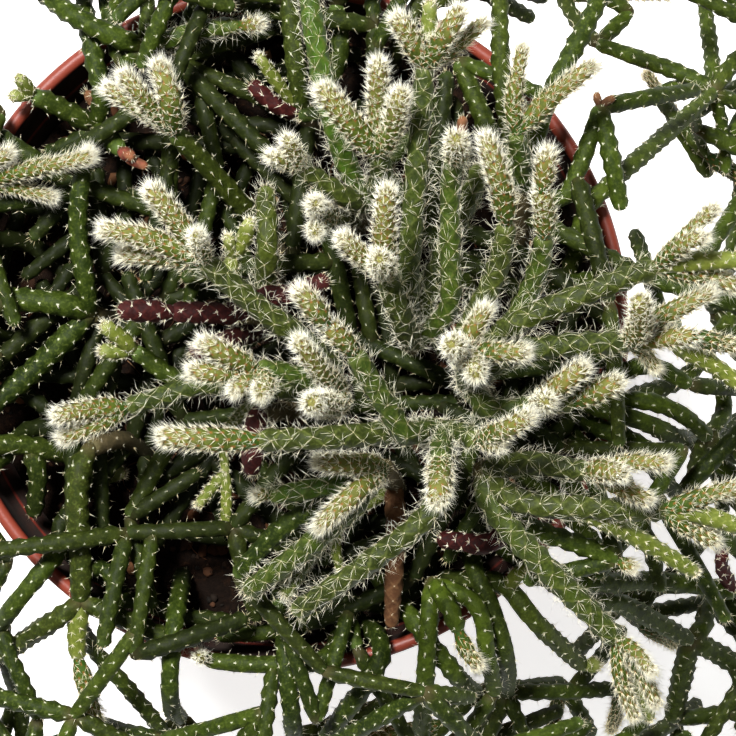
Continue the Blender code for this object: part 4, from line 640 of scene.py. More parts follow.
def settle(stems):
    """Moves stems that would run through each other apart, the least that does it."""
    points, runs, first = [], [], []
    for number, stem in enumerate(stems):
        line = stem["line"]
        ids = []
        for k, p in enumerate(line):
            if k == 0 and stem["parent"] >= 0:
                shared = stems[stem["parent"]]["ids"]
                ids.append(shared[round(stem["share"] * (len(shared) - 1))])
                continue
            ids.append(len(points))
            points.append(p)
        stem["ids"] = ids
        for k, (i, j) in enumerate(zip(ids, ids[1:])):
            runs.append((i, j, number, k, len(ids) - 2 - k))
    at = np.array(points)
    start = at.copy()
    held = np.ones(len(at))
    for stem in stems:
        if stem["parent"] < 0:
            for k, i in enumerate(stem["ids"]):
                if at[i][2] < SOIL_TOP + 2.5:
                    held[i] = 0.0
    ri = np.array([r[0] for r in runs])
    rj = np.array([r[1] for r in runs])
    rs = np.array([r[2] for r in runs])
    rk = np.array([r[3] for r in runs])
    rb = np.array([r[4] for r in runs])
    radius = np.array([s["radius"] for s in stems])[rs]
    parent = np.array([s["parent"] for s in stems])
    cutting = np.array([s["cutting"] for s in stems])
    # how far along its parent each stem leaves it, in runs
    leave = np.array([
        round(s["share"] * (len(stems[s["parent"]]["ids"]) - 1)) if s["parent"] >= 0 else 0 for s in stems
    ])
    near = [[] for _ in at]
    for stem in stems:
        for i, j in zip(stem["ids"], stem["ids"][1:]):
            near[i].append(j)
            near[j].append(i)
    pair_i = np.concatenate([np.full(len(n), k) for k, n in enumerate(near)])
    pair_j = np.concatenate([np.array(n, int) for n in near])
    degree = np.bincount(pair_i, minlength=len(at)).astype(float)
    keep = None
    for step in range(SETTLE_STEPS):
        if step % 8 == 0:
            mid = (at[ri] + at[rj]) / 2
            a, b = [], []
            for k in range(len(ri)):
                d = np.abs(mid[k + 1:] - mid[k]).max(axis=1)
                hit = np.nonzero(d < 11)[0] + k + 1
                a.append(np.full(len(hit), k))
                b.append(hit)
            a, b = np.concatenate(a), np.concatenate(b)
            sa, sb = rs[a], rs[b]
            joined = (ri[a] == ri[b]) | (ri[a] == rj[b]) | (rj[a] == ri[b]) | (rj[a] == rj[b])
            same = (sa == sb) & (np.abs(rk[a] - rk[b]) < 4)
            sisters = (parent[sa] == parent[sb]) & (parent[sa] >= 0) & (rk[a] + rk[b] < 4) \
                & (np.abs(leave[sa] - leave[sb]) < 3)
            child = (parent[sa] == sb) & (rk[a] < 2) & (np.abs(leave[sa] - rk[b]) < 3)
            mother = (parent[sb] == sa) & (rk[b] < 2) & (np.abs(leave[sb] - rk[a]) < 3)
            grand = (cutting[sa] == cutting[sb]) & (sa != sb) & (
                ((parent[np.maximum(parent[sa], 0)] == sb) & (rk[a] < 2))
                | ((parent[np.maximum(parent[sb], 0)] == sa) & (rk[b] < 2)))
            ok = ~(joined | same | sisters | child | mother | grand)
            a, b = a[ok], b[ok]
            rest = radius[a] + radius[b] + STEM_GAP
            keep = (a, b, rest)
        a, b, rest = keep
        s, t = closest(at[ri[a]], at[rj[a]], at[ri[b]], at[rj[b]])
        pa = at[ri[a]] + (at[rj[a]] - at[ri[a]]) * s[:, None]
        pb = at[ri[b]] + (at[rj[b]] - at[ri[b]]) * t[:, None]
        way = pa - pb
        far = np.linalg.norm(way, axis=1)
        flat = far < 1e-4
        way[flat] = (0, 0, 1)
        far_safe = np.where(flat, 1, far)
        deep = np.maximum(rest - far, 0)
        hit = deep > 0
        push = way[hit] / far_safe[hit][:, None] * (deep[hit] * 0.42)[:, None]
        move, weight = np.zeros_like(at), np.zeros(len(at))
        for ids, share, sign in ((ri[a][hit], 1 - s[hit], 1), (rj[a][hit], s[hit], 1),
                                 (ri[b][hit], 1 - t[hit], -1), (rj[b][hit], t[hit], -1)):
            np.add.at(move, ids, push * (sign * share)[:, None])
            np.add.at(weight, ids, share)
        move /= np.maximum(weight, 1)[:, None]
        at += move * held[:, None] * 1.6
        if step < SETTLE_STEPS - 12:
            gone = at - start
            mean = np.zeros_like(gone)
            np.add.at(mean, pair_i, gone[pair_j])
            mean /= np.maximum(degree, 1)[:, None]
            gone += (mean - gone) * 0.35
            at = start + gone * np.where(held > 0, 0.995, 0)[:, None]
        at = clear_of_pot(at, held, stems)
    for stem in stems:
        stem["line"] = at[stem["ids"]]
    return stems


def clear_of_pot(at, held, stems):
    """Keeps every free point out of the soil, the pot wall, its rim and the table."""
    rho = np.hypot(at[:, 0], at[:, 1])
    unit = at[:, :2] / np.maximum(rho, 1e-6)[:, None]
    r = 2.4
    free = held > 0
    ring = RIM_RADIUS - 1.3
    inside = free & (rho < ring)
    at[:, 2] = np.where(inside & (at[:, 2] < SOIL_TOP + r + 0.2), SOIL_TOP + r + 0.2, at[:, 2])
    top = POT_HEIGHT - 1.3
    low = free & (at[:, 2] < top)
    most = RIM_RADIUS - RIM_THICK - r - 0.6
    new = np.where(low & inside & (rho > most), most, rho)
    least = np.where(at[:, 2] > POT_HEIGHT - RIM_DEPTH - 3, RIM_RADIUS,
                     FOOT_RADIUS + (BODY_TOP_RADIUS - FOOT_RADIUS) * at[:, 2] / (POT_HEIGHT - RIM_DEPTH)) + r + 0.6
    new = np.where(low & ~inside & (rho < least), least, new)
    # over the rim: out of a round bead on top of the wall
    dx, dz = new - ring, at[:, 2] - top
    d = np.hypot(dx, dz)
    need = 1.3 + r + 0.6
    over = free & (at[:, 2] >= top) & (d < need)
    k = np.where(over, need / np.maximum(d, 1e-6), 1)
    new = np.where(over, ring + dx * k, new)
    z = np.where(over, top + dz * k, at[:, 2])
    z = np.where(free & (z < 3.5), 3.5, z)
    return np.column_stack([unit[:, 0] * new, unit[:, 1] * new, z])


def skeleton():
    return settle(layout())


# ------------------------------------------------------------------- camera
def set_camera():
    data = bpy.data.cameras.new("overhead")
    data.sensor_width = 36.0
    data.lens = 36.0 * PLAN_SCALE / (2 * PLAN_MIDDLE)
    data.clip_start, data.clip_end = 0.01, 20.0
    camera = bpy.data.objects.new("overhead", data)
    camera.location = tuple(c / 1000 for c in EYE)
    bpy.context.scene.collection.objects.link(camera)
    bpy.context.scene.camera = camera


# ---------------------------------------------------------------- stem shape
# Each kind: columns of areoles round the stem, distance between areoles down a
# column, depth of the facets between them, width of the tip over the middle, and
# how many quarters of that distance lie between two rings of the body.
FORMS = {
    "m": (8, 3.4, 0.16, 0.90, 1), "r": (8, 3.1, 0.14, 0.88, 1), "y": (10, 1.8, 0.10, 0.66, 2), "g": (8, 2.3, 0.07, 0.74, 2),
    "l": (6, 2.9, 0.14, 0.84, 2), "o": (6, 4.6, 0.08, 1.00, 2), "b": (6, 3.4, 0.20, 0.66, 1),
}
KINDS = "myrglob"


def unit(v):
    return v / np.maximum(np.linalg.norm(v, axis=-1, keepdims=True), 1e-9)


def ease(t):
    t = np.clip(t, 0, 1)
    return t * t * (3 - 2 * t)


def fine_line(line):
    """The Catmull-Rom curve through a stem's points, finely divided."""
    p = np.vstack([2 * line[0] - line[1], line, 2 * line[-1] - line[-2]])
    a, b, c, d = (p[i: len(p) - 3 + i][:, None, :] for i in range(4))
    t = (np.arange(12) / 12)[None, :, None]
    q = 0.5 * (2 * b + (c - a) * t + (2 * a - 5 * b + 4 * c - d) * t * t + (3 * b - a - 3 * c + d) * t**3)
    return np.vstack([q.reshape(-1, 3), line[-1:]])


def points_at(fine, run, s):
    """Points at distances s along a curve, straight on past its two ends."""
    p = np.stack([np.interp(s, run, fine[:, k]) for k in range(3)], axis=1)
    first, last = unit(fine[1] - fine[0]), unit(fine[-1] - fine[-2])
    p += first * np.minimum(s, 0)[:, None] + last * np.maximum(s - run[-1], 0)[:, None]
    return p


def frames_along(p):
    """Tangent, normal and side at each point, turned no more than the curve turns."""
    t = unit(np.gradient(p, axis=0))
    n = np.zeros_like(t)
    side = np.array([0.31, 0.17, 0.94]) if abs(t[0][2]) < 0.8 else np.array([0.94, 0.31, 0.17])
    for k in range(len(t)):
        side = side - t[k] * float(side @ t[k])
        side = side / math.sqrt(float(side @ side))
        n[k] = side
    return t, n, np.cross(t, n)


def stem_surface(stem, leafless, rng):
    """One joint: a closed ribbed body on a lattice of areoles, and the areoles themselves."""
    kind, R = stem["kind"], stem["radius"]
    columns, pitch, dent, slim, stride = FORMS[kind]
    fine = fine_line(np.asarray(stem["line"]))
    run = np.concatenate([[0], np.cumsum(np.linalg.norm(np.diff(fine, axis=0), axis=1))])
    length = run[-1] + 0.15 * R
    cap = R * slim * (1.25 if kind == "y" else 0.95)
    rows = max(3, int(round((length - cap) / (pitch / 4 * stride))))
    step = (length - cap) / rows
    s = np.concatenate([[-0.35 * R], np.arange(rows + 1) * step, length - cap + cap * np.sin(np.radians([34, 64]))])
    shrink = np.concatenate([[0.62], np.ones(rows + 1), np.cos(np.radians([34, 64]))])
    share = np.clip(s / length, 0, 1)
    if stem["parent"] >= 0:
        shrink = shrink * (0.64 + 0.36 * ease(s / (1.5 * R)))
    if kind == "y":
        shrink = shrink * (1.02 - (1 - slim) * share**1.5) * (0.86 + 0.14 * ease(s / (3.0 * R)))
    else:
        shrink = shrink * (1.0 - (1 - slim) * share**4)
    a, b, c, d = rng.uniform(0, 1, 4)
    shrink = shrink * (1 + 0.035 * np.sin(2 * math.pi * (s / (7 + 5 * a) + b)) + 0.02 * np.sin(2 * math.pi * (s / 3.1 + c)))
    p = points_at(fine, run, s)
    t, n, side = frames_along(p)
    count = 2 * columns
    j = (np.arange(len(s)) - 1) * stride
    i = np.arange(count)
    J, I = np.meshgrid(j, i, indexing="ij")
    m, k = (I + J) / 4.0, (I - J) / 4.0
    bowl = np.sin(math.pi * (m % 1)) * np.sin(math.pi * (k % 1))
    areole = ((I % 2 == 0) & (J % 2 == 0) & ((I // 2 + J // 2) % 2 == 0)).astype(float)
    turn = 2 * math.pi * (I / count + d) + rng.uniform(-0.03, 0.03) * s[:, None]
    fade = ease((s + 0.2) / (1.2 * R)) * ease((length - s) / (0.9 * R))
    lump = 0.07 if kind in "mr" else 0.10 if kind in "lg" else 0.05
    waver = 1 + 0.02 * np.sin(I * 2.39 + J * 1.7 + b * 9)
    r = R * shrink[:, None] * waver * (1 - dent * bowl * fade[:, None] + lump * areole * fade[:, None])
    out = n[:, None, :] * np.cos(turn)[..., None] + side[:, None, :] * np.sin(turn)[..., None]
    verts = p[:, None, :] + out * r[..., None]
    ends = points_at(fine, run, np.array([-0.55 * R, length + 0.02]))
    grid = np.arange(len(s) * count).reshape(len(s), count)
    nxt = np.roll(grid, -1, axis=1)
    v00, v01, v10, v11 = grid[:-1], nxt[:-1], grid[1:], nxt[1:]
    Jq, Iq = J[:-1], I[:-1]
    if stride == 1:
        anti = ((Iq + Jq + 1) % 4 == 0) | (((Iq - Jq) % 4 != 0) & ((Iq + Jq) % 2 != 0))
    else:
        anti = (Iq - Jq) % 4 > 1
    tris = np.concatenate([
        np.stack([v00, v01, np.where(anti, v10, v11)], -1).reshape(-1, 3),
        np.stack([np.where(anti, v01, v00), v11, v10], -1).reshape(-1, 3),
        np.stack([np.full(count, len(s) * count), nxt[0], grid[0]], -1),
        np.stack([grid[-1], nxt[-1], np.full(count, len(s) * count + 1)], -1),
    ])
    # the same corners on a flat strip, opened along the first column
    wide = 2 * math.pi * R
    U = np.concatenate([(I / count * wide).ravel(), [wide / 2, wide / 2]])
    V = np.concatenate([np.repeat(s + 0.55 * R, count), [0, length + 0.55 * R]])
    uv = np.stack([U[tris], V[tris]], -1)
    low, high = uv[..., 0].min(1), uv[..., 0].max(1)
    wrap = (high - low) > wide * 0.6
    wrapped = wrap[:, None] & (uv[..., 0] < wide * 0.3)
    uv[..., 0] = np.where(wrapped, uv[..., 0] + wide, uv[..., 0])
    values = dict(
        ridge=np.concatenate([(1 - bowl).ravel(), [0.5, 0.5]]),
        areole=np.concatenate([areole.ravel(), [0, 0]]),
        along=np.concatenate([np.repeat(share, count), [0, 1]]),
        foot=np.concatenate([np.repeat(np.clip(s / 4.0, 0, 1), count), [0, 1]]),
        end=np.concatenate([np.repeat(np.clip((length - s) / 3.5, 0, 1), count), [1, 0]]),
    )
    spots = areole.astype(bool) & (s > 0.25 * R)[:, None]
    where = np.argwhere(spots)
    tufts = dict(
        at=verts[spots], out=out[spots], way=t[where[:, 0]], share=share[where[:, 0]],
        left=length - s[where[:, 0]], past=s[where[:, 0]],
    )
    verts = np.vstack([verts.reshape(-1, 3), ends])
    tip = dict(at=ends[1], way=t[-1], across=n[-1], side=side[-1], radius=R * shrink[-1], cap=cap,
               middle=points_at(fine, run, np.array([length - cap]))[0])
    return verts, tris, uv, values, tufts, tip, (wide + 1.0, length + 0.55 * R + 1.0)


def add_mesh(name, verts, tris, uv, values, slots, material_of):
    """A mesh object from arrays in mm, with its flat map, its surface values and its materials."""
    mesh = bpy.data.meshes.new(name)
    mesh.vertices.add(len(verts))
    mesh.vertices.foreach_set("co", (np.asarray(verts, float) / 1000).ravel())
    mesh.loops.add(3 * len(tris))
    mesh.loops.foreach_set("vertex_index", np.asarray(tris, np.int32).ravel())
    mesh.polygons.add(len(tris))
    mesh.polygons.foreach_set("loop_start", np.arange(0, 3 * len(tris), 3, dtype=np.int32))
    mesh.polygons.foreach_set("loop_total", np.full(len(tris), 3, np.int32))
    for slot in slots:
        mesh.materials.append(slot)
    mesh.polygons.foreach_set("material_index", np.asarray(material_of, np.int32))
    mesh.update(calc_edges=True)
    layer = mesh.uv_layers.new(name="OFBake")
    layer.data.foreach_set("uv", np.asarray(uv, float).ravel())
    for key, array in values.items():
        attribute = mesh.attributes.new(key, "FLOAT", "POINT")
        attribute.data.foreach_set("value", np.asarray(array, float))
    mesh.polygons.foreach_set("use_smooth", np.ones(len(tris), bool))
    mesh.validate()
    obj = bpy.data.objects.new(name, mesh)
    bpy.context.scene.collection.objects.link(obj)
    return obj


def packed_strips(sizes):
    """Places for rectangles on a square, in columns; gives each its corner and the square's side."""
    order = sorted(range(len(sizes)), key=lambda k: -sizes[k][1])
    side = max(max(h for _, h in sizes), math.sqrt(sum(w * h for w, h in sizes) * 1.12))
    while True:
        spots, x, ok = [None] * len(sizes), 0.0, True
        rest = list(order)
        while rest:
            y, wide, left = 0.0, 0.0, []
            for k in rest:
                w, h = sizes[k]
                if y + h <= side:
                    spots[k] = (x, y)
                    y += h
                    wide = max(wide, w)
                else:
                    left.append(k)
            x += wide
            rest = left
        if x <= side:
            return spots, side
        side *= 1.05


# ------------------------------------------------------------------- bristles
def bristle_arrays(root, lead, curl, length, width, tone, fine):
    """Closed curved bristles: a spindle with a bend where `fine`, else a thin spike."""
    count = len(root)
    ref = np.where(np.abs(lead[:, 2:3]) < 0.85, np.array([[0.0, 0.0, 1.0]]), np.array([[1.0, 0.0, 0.0]]))
    a = unit(np.cross(lead, ref))
    b = np.cross(lead, a)
    L, W = length[:, None], (width / 2)[:, None]
    tip = root + lead * L + curl * L
    ring = []
    bend = 0.42 if fine else 0.0
    centre = root + lead * L * bend + curl * L * bend**2
    for k in range(3):
        w = 2 * math.pi * k / 3
        ring.append(centre + (a * math.cos(w) + b * math.sin(w)) * W)
    base = np.arange(count)[:, None]
    if fine:
        verts = np.stack([root] + ring + [tip], 1).reshape(-1, 3)
        shape = np.array([[0, 2, 1], [0, 3, 2], [0, 1, 3], [1, 2, 4], [2, 3, 4], [3, 1, 4]])
        U = np.array([0.0, -0.008, 0.0, 0.008, 0.0])
        V = np.array([0.03, 0.42, 0.45, 0.42, 0.97])
    else:
        verts = np.stack(ring + [tip], 1).reshape(-1, 3)
        shape = np.array([[0, 2, 1], [0, 1, 3], [1, 2, 3], [2, 0, 3]])
        U = np.array([-0.008, 0.0, 0.008, 0.0])
        V = np.array([0.03, 0.08, 0.03, 0.97])
    per = len(U)
    tris = (base[:, None, :] * per + shape[None]).reshape(-1, 3)
    uv = np.stack([(tone[:, None] * 0.96 + 0.02 + U[None]).ravel(), np.tile(V, count)], -1)
    return verts, tris, uv[tris]


def spread(out, way, steep, round_way):
    """Directions that lean from the outward one towards an angle round the stem's own line."""
    across = np.cross(way, out)
    flat = way * np.cos(round_way)[:, None] + across * np.sin(round_way)[:, None]
    return unit(out * np.cos(steep)[:, None] + flat * np.sin(steep)[:, None]), flat


def depth_of(p):
    """How deep in the plant's own shade a point lies, from 0 to 1."""
    rho = np.hypot(p[..., 0], p[..., 1])
    return np.where(rho < RIM_RADIUS + 2, ease((POT_HEIGHT + 7 - p[..., 2]) / 15), 0.5 * ease((POT_HEIGHT - 10 - p[..., 2]) / 70))


def tuft_bristles(kind, tufts, tip, has_children, sparse, rng):
    """The bristles of one joint, as a list of bristle_arrays arguments."""
    made = []
    at, out, way, share = tufts["at"], tufts["out"], tufts["way"], tufts["share"]
    left, past = tufts["left"], tufts["past"]
    if len(at):
        if kind in "mr":
            number = rng.integers(5, 9, len(at)) + (past < 4) * 2 + (left < 4) * 2
            if kind == "r":
                number = rng.integers(5, 8, len(at)) + (past < 3) * 6
        elif kind == "y":
            number = np.round(3.4 + 9.0 * share**0.9 + rng.uniform(-1, 1, len(at))).astype(int)
            number = np.where(past < 1.5, 2, number)
            number = np.where(at[:, 2] < POT_HEIGHT - 4, (number + 1) // 2, number)
        elif kind == "g":
            number = rng.integers(4, 7, len(at))
        elif kind == "b":
            number = rng.integers(0, 3, len(at))
        else:
            number = np.where(depth_of(at) > 0.75, rng.integers(0, 3, len(at)), rng.integers(2, 5, len(at)))
            if sparse:
                number = np.minimum(number, rng.integers(1, 3, len(at)))
        pick = np.repeat(np.arange(len(at)), number)
        K = len(pick)
        if K:
            f = rng.uniform(0, 1, (8, K))
            if kind in "mr":
                steep = np.radians(30 + 56 * f[0] ** 0.8)
                turn = rng.normal(0, 1.35, K)
                length = 1.3 + 2.5 * f[1] ** 1.3
                width = 0.052 + 0.034 * f[2]
                curl_size = 0.34
                tone = 0.02 + 0.36 * f[3]
                fine = True
                if kind == "r":
                    length = 0.5 + 0.9 * f[1] ** 2 + 0.9 * (past[pick] < 3)
                    width = 0.13 + 0.07 * f[2]
                    fine = False
            elif kind == "y":
                tipward = ease((share[pick] - 0.45) / 0.5)
                steep = np.radians(38 + 46 * f[0] ** 0.7)
                turn = rng.normal(0, 0.85 - 0.35 * tipward, K)
                length = (0.8 + 1.5 * f[1]) * (1 + 0.25 * tipward)
                width = 0.09 + 0.05 * f[2]
                curl_size = 0.12
                tone = np.clip(0.30 - 0.24 * tipward + 0.34 * (f[3] - 0.5), 0, 0.55)
                fine = False
            else:
                steep = np.radians(12 + 62 * f[0])
                turn = rng.uniform(-math.pi, math.pi, K)
                length = 0.35 + 1.6 * f[1] ** 4
                width = 0.10 + 0.06 * f[2]
                curl_size = 0.25
                tone = 0.02 + 0.4 * f[3]
                fine = False
                if kind == "g":
                    length = 0.6 + 0.8 * f[1]
                    steep = np.radians(25 + 55 * f[0])
                    turn = rng.normal(0, 1.0, K)
            lead, flat = spread(out[pick], way[pick], steep, turn)
            curl = unit(np.cross(lead, out[pick])) * (f[4] - 0.5)[:, None] * 2 - out[pick] * (f[5] * 0.9 - 0.15)[:, None]
            if kind == "y":
                curl = curl + out[pick] * 0.7
            root = at[pick] - out[pick] * 0.08 + flat * 0.16 * f[6][:, None]
            bent = fine & (length > 2.2)
            for some, fine in ((bent, True), (~bent, False)):
                if some.any():
                    made.append((root[some], lead[some], curl[some] * curl_size, length[some], width[some], tone[some], fine))
    if has_children:
        number = 10 if kind in "mr" else 3
    else:
        number = {"y": 70, "m": 30, "r": 24, "g": 30, "l": 12, "o": 4, "b": 8}[kind]
    f = rng.uniform(0, 1, (7, number))
    polar = np.arccos(1 - 0.72 * f[0])
    around = 2 * math.pi * f[1]
    ring = tip["across"][None] * np.cos(around)[:, None] + tip["side"][None] * np.sin(around)[:, None]
    ball = unit(tip["way"][None] * np.cos(polar)[:, None] + ring * np.sin(polar)[:, None])
    grow = tip["cap"] * np.cos(polar)[:, None] * tip["way"][None] * 0.97 + ring * np.sin(polar)[:, None] * tip["cap"] * 0.9
    root = tip["middle"][None] + grow
    young = kind == "y"
    aim = unit(ball * (0.55 if young else 1.0) + tip["way"][None] * (0.8 if young else 0.5) + 0.35 * (rng.uniform(-1, 1, (number, 3))))
    length = (0.9 if young else 0.9) + (1.0 if kind in "ymr" else 0.7) * f[2]
    made.append((root, aim, rng.uniform(-0.16, 0.16, (number, 3)), length, (0.075 if kind in "mr" else 0.10) + 0.05 * f[3],
                 0.3 * f[4] if young else 0.1 + 0.4 * f[4], False))
    return made


# ------------------------------------------------------------------ materials
class Nodes:
    """Short ways to lay out a material's nodes."""

    def __init__(self, name):
        self.material = bpy.data.materials.new(name)
        self.material.use_nodes = True
        self.tree = self.material.node_tree
        self.shader = self.tree.nodes["Principled BSDF"]
        self.place = None

    def new(self, kind, **settings):
        node = self.tree.nodes.new(kind)
        for key, value in settings.items():
            setattr(node, key, value)
        return node

    def put(self, socket, value):
        if isinstance(value, bpy.types.NodeSocket):
            self.tree.links.new(value, socket)
        elif isinstance(value, tuple) and len(value) == 3:
            socket.default_value = (*value, 1)
        else:
            socket.default_value = value

    def value(self, name):
        return self.new("ShaderNodeAttribute", attribute_name=name).outputs["Fac"]

    def spot(self):
        if self.place is None:
            self.place = self.new("ShaderNodeTexCoord").outputs["Object"]
        return self.place

    def noise(self, scale, detail=2.0, rough=0.5):
        node = self.new("ShaderNodeTexNoise")
        self.put(node.inputs["Vector"], self.spot())
        node.inputs["Scale"].default_value = scale
        node.inputs["Detail"].default_value = detail
        node.inputs["Roughness"].default_value = rough
        return node.outputs["Fac"]

    def maths(self, operation, a, b=0.0, clamp=False):
        node = self.new("ShaderNodeMath", operation=operation, use_clamp=clamp)
        self.put(node.inputs[0], a)
        self.put(node.inputs[1], b)
        return node.outputs[0]

    def span(self, value, low, high, to_low=0.0, to_high=1.0):
        node = self.new("ShaderNodeMapRange")
        self.put(node.inputs["Value"], value)
        node.inputs["From Min"].default_value = low
        node.inputs["From Max"].default_value = high
        node.inputs["To Min"].default_value = to_low
        node.inputs["To Max"].default_value = to_high
        return node.outputs["Result"]

    def mix(self, share, a, b, blend="MIX"):
        node = self.new("ShaderNodeMix", data_type="RGBA", blend_type=blend)
        self.put(node.inputs[0], share)
        self.put(node.inputs[6], a)
        self.put(node.inputs[7], b)
        return node.outputs[2]

    def ramp(self, share, stops):
        node = self.new("ShaderNodeValToRGB")
        points = node.color_ramp.elements
        while len(points) < len(stops):
            points.new(0.5)
        for point, (where, colour) in zip(points, stops):
            point.position, point.color = where, (*colour, 1)
        self.put(node.inputs[0], share)
        return node.outputs["Color"]

    def bump(self, height, distance, strength=1.0):
        node = self.new("ShaderNodeBump")
        node.inputs["Strength"].default_value = strength
        node.inputs["Distance"].default_value = distance
        self.put(node.inputs["Height"], height)
        self.tree.links.new(node.outputs["Normal"], self.shader.inputs["Normal"])

    def done(self, colour, roughness, **sockets):
        self.put(self.shader.inputs["Base Color"], colour)
        self.put(self.shader.inputs["Roughness"], roughness)
        for key, value in sockets.items():
            self.shader.inputs[key.replace("_", " ")].default_value = value
        return self.material


def skin(kind):
    """The skin of one kind of joint, by its ridges, areoles, age and small mottling, and painted shade that darkens
    the joints lying deep in the plant.
    """
    g = Nodes("skin_" + {"m": "mature", "y": "young", "r": "reddened", "g": "green", "l": "low", "o": "old", "b": "dry"}[kind])
    ridge, areole, along, tone = (g.value(k) for k in ("ridge", "areole", "along", "tone"))
    foot, end, deep = g.value("foot"), g.value("end"), g.value("deep")
    patch = g.noise(240, 3)
    grain = g.noise(1900, 2)
    fine = g.noise(5200, 2)
    dark, light, line, spot, root, tip = {
        "m": ((0.013, 0.019, 0.002), (0.047, 0.063, 0.004), (0.094, 0.114, 0.021), (0.60, 0.54, 0.36), (0.090, 0.060, 0.020), (0.13, 0.16, 0.035)),
        "y": ((0.025, 0.046, 0.003), (0.084, 0.124, 0.010), (0.127, 0.165, 0.022), (0.22, 0.080, 0.018), (0.032, 0.072, 0.005), (0.172, 0.165, 0.040)),
        "r": ((0.012, 0.0014, 0.0012), (0.050, 0.0055, 0.0042), (0.072, 0.012, 0.009), (0.80, 0.75, 0.66), (0.040, 0.008, 0.008), (0.07, 0.012, 0.010)),
        "g": ((0.080, 0.105, 0.012), (0.170, 0.195, 0.026), (0.230, 0.260, 0.060), (0.72, 0.68, 0.46), (0.110, 0.130, 0.030), (0.36, 0.38, 0.14)),
        "l": ((0.010, 0.019, 0.002), (0.058, 0.088, 0.006), (0.095, 0.125, 0.020), (0.66, 0.68, 0.50), (0.075, 0.060, 0.025), (0.12, 0.19, 0.04)),
        "o": ((0.050, 0.040, 0.018), (0.120, 0.090, 0.040), (0.160, 0.120, 0.060), (0.34, 0.28, 0.18), (0.040, 0.026, 0.014), (0.10, 0.09, 0.03)),
        "b": ((0.060, 0.024, 0.010), (0.160, 0.072, 0.030), (0.190, 0.100, 0.045), (0.60, 0.50, 0.34), (0.050, 0.022, 0.010), (0.24, 0.11, 0.045)),
    }[kind]
    body = g.mix(g.span(g.maths("ADD", g.maths("MULTIPLY", patch, 0.9), g.maths("MULTIPLY", tone, 0.75)), 0.38, 1.15), dark, light)
    if kind in "mylb":
        body = g.mix(g.maths("MULTIPLY", g.value("hue"), 0.85), body, {"m": (0.046, 0.110, 0.006), "y": (0.138, 0.114, 0.018), "l": (0.036, 0.042, 0.006), "b": (0.30, 0.070, 0.050)}[kind])
    body = g.mix(g.maths("MULTIPLY", g.span(ridge, 0.66, 1.0), 0.6), body, line)
    body = g.mix(g.maths("MULTIPLY", g.span(grain, 0.50, 0.66), 0.45), body, line)
    body = g.mix(g.maths("MULTIPLY", g.span(g.noise(620, 3, 0.6), 0.54, 0.42), 0.5), body, dark)
    if kind == "y":
        body = g.mix(g.span(along, 0.45, 1.0), body, tip)
        body = g.mix(g.span(along, 0.32, 0.06), body, root)
    else:
        body = g.mix(g.maths("MULTIPLY", g.span(end, 0.55, 0.0), 0.6), body, tip)
    body = g.mix(g.maths("MULTIPLY", g.span(foot, 0.6, 0.05), 0.8), body, root)
    body = g.mix(g.span(areole, 0.45 if kind == "y" else 0.80, 0.90 if kind == "y" else 0.96), body, spot)
    # painted shade: the deep value (depth in the plant plus the undergrowth's extra shade) mixes the skin towards
    # near-black
    body = g.mix(g.maths("MULTIPLY", deep, 0.88), body, (0.0060, 0.0080, 0.0018))
    g.bump(g.maths("ADD", grain, g.maths("MULTIPLY", fine, 0.4)), 0.00012, 0.7)
    rough = g.span(grain, 0.3, 0.7, 0.50 if kind in "mlg" else 0.6, 0.68 if kind in "mlg" else 0.8)
    return g.done(body, rough, Specular_IOR_Level=0.11 if kind == "l" else 0.18)


def bristle_material():
    g = Nodes("bristles")
    place = g.new("ShaderNodeUVMap", uv_map="OFBake").outputs["UV"]
    parts = g.new("ShaderNodeSeparateXYZ")
    g.put(parts.inputs[0], place)
    tone, along = parts.outputs["X"], parts.outputs["Y"]
    white = g.ramp(along, [(0.0, (0.74, 0.64, 0.38)), (0.35, (0.91, 0.88, 0.70)), (1.0, (0.96, 0.95, 0.86))])
    straw = g.ramp(along, [(0.0, (0.58, 0.44, 0.18)), (0.35, (0.82, 0.72, 0.42)), (1.0, (0.90, 0.84, 0.60))])
    rough = g.span(along, 0.0, 1.0, 0.62, 0.48)
    body = g.mix(g.span(tone, 0.05, 0.75), white, straw)
    # painted shade: the dark end of the tone, towards which bristles deep in the plant are pushed
    body = g.mix(g.span(tone, 0.62, 1.0, 0.0, 0.9), body, (0.055, 0.040, 0.024))
    return g.done(body, rough, Specular_IOR_Level=0.4)


def soil_material():
    g = Nodes("potting_mix")
    tone = g.value("tone")
    grain, lump = g.noise(900, 4, 0.65), g.noise(190, 3)
    body = g.ramp(g.maths("ADD", g.maths("MULTIPLY", grain, 0.7), g.maths("MULTIPLY", lump, 0.3)),
                  [(0.30, (0.002, 0.0014, 0.001)), (0.50, (0.005, 0.003, 0.002)), (0.62, (0.013, 0.006, 0.003)), (0.74, (0.045, 0.021, 0.010))])
    body = g.mix(g.maths("MULTIPLY", tone, 0.4), body, (0.012, 0.005, 0.0025))
    g.bump(grain, 0.0008, 0.9)
    return g.done(body, g.span(grain, 0.3, 0.7, 0.98, 0.9), Specular_IOR_Level=0.08)


def chip_material():
    """Grains, bark chips and fibres: one colour for each place across the map."""
    g = Nodes("chips_and_fibres")
    place = g.new("ShaderNodeUVMap", uv_map="OFBake").outputs["UV"]
    parts = g.new("ShaderNodeSeparateXYZ")
    g.put(parts.inputs[0], place)
    body = g.ramp(parts.outputs["X"], [
        (0.0, (0.004, 0.003, 0.002)), (0.35, (0.012, 0.007, 0.004)), (0.55, (0.040, 0.018, 0.009)),
        (0.75, (0.100, 0.038, 0.016)), (0.88, (0.180, 0.080, 0.034)), (1.0, (0.42, 0.30, 0.16))])
    return g.done(body, 0.85, Specular_IOR_Level=0.15)


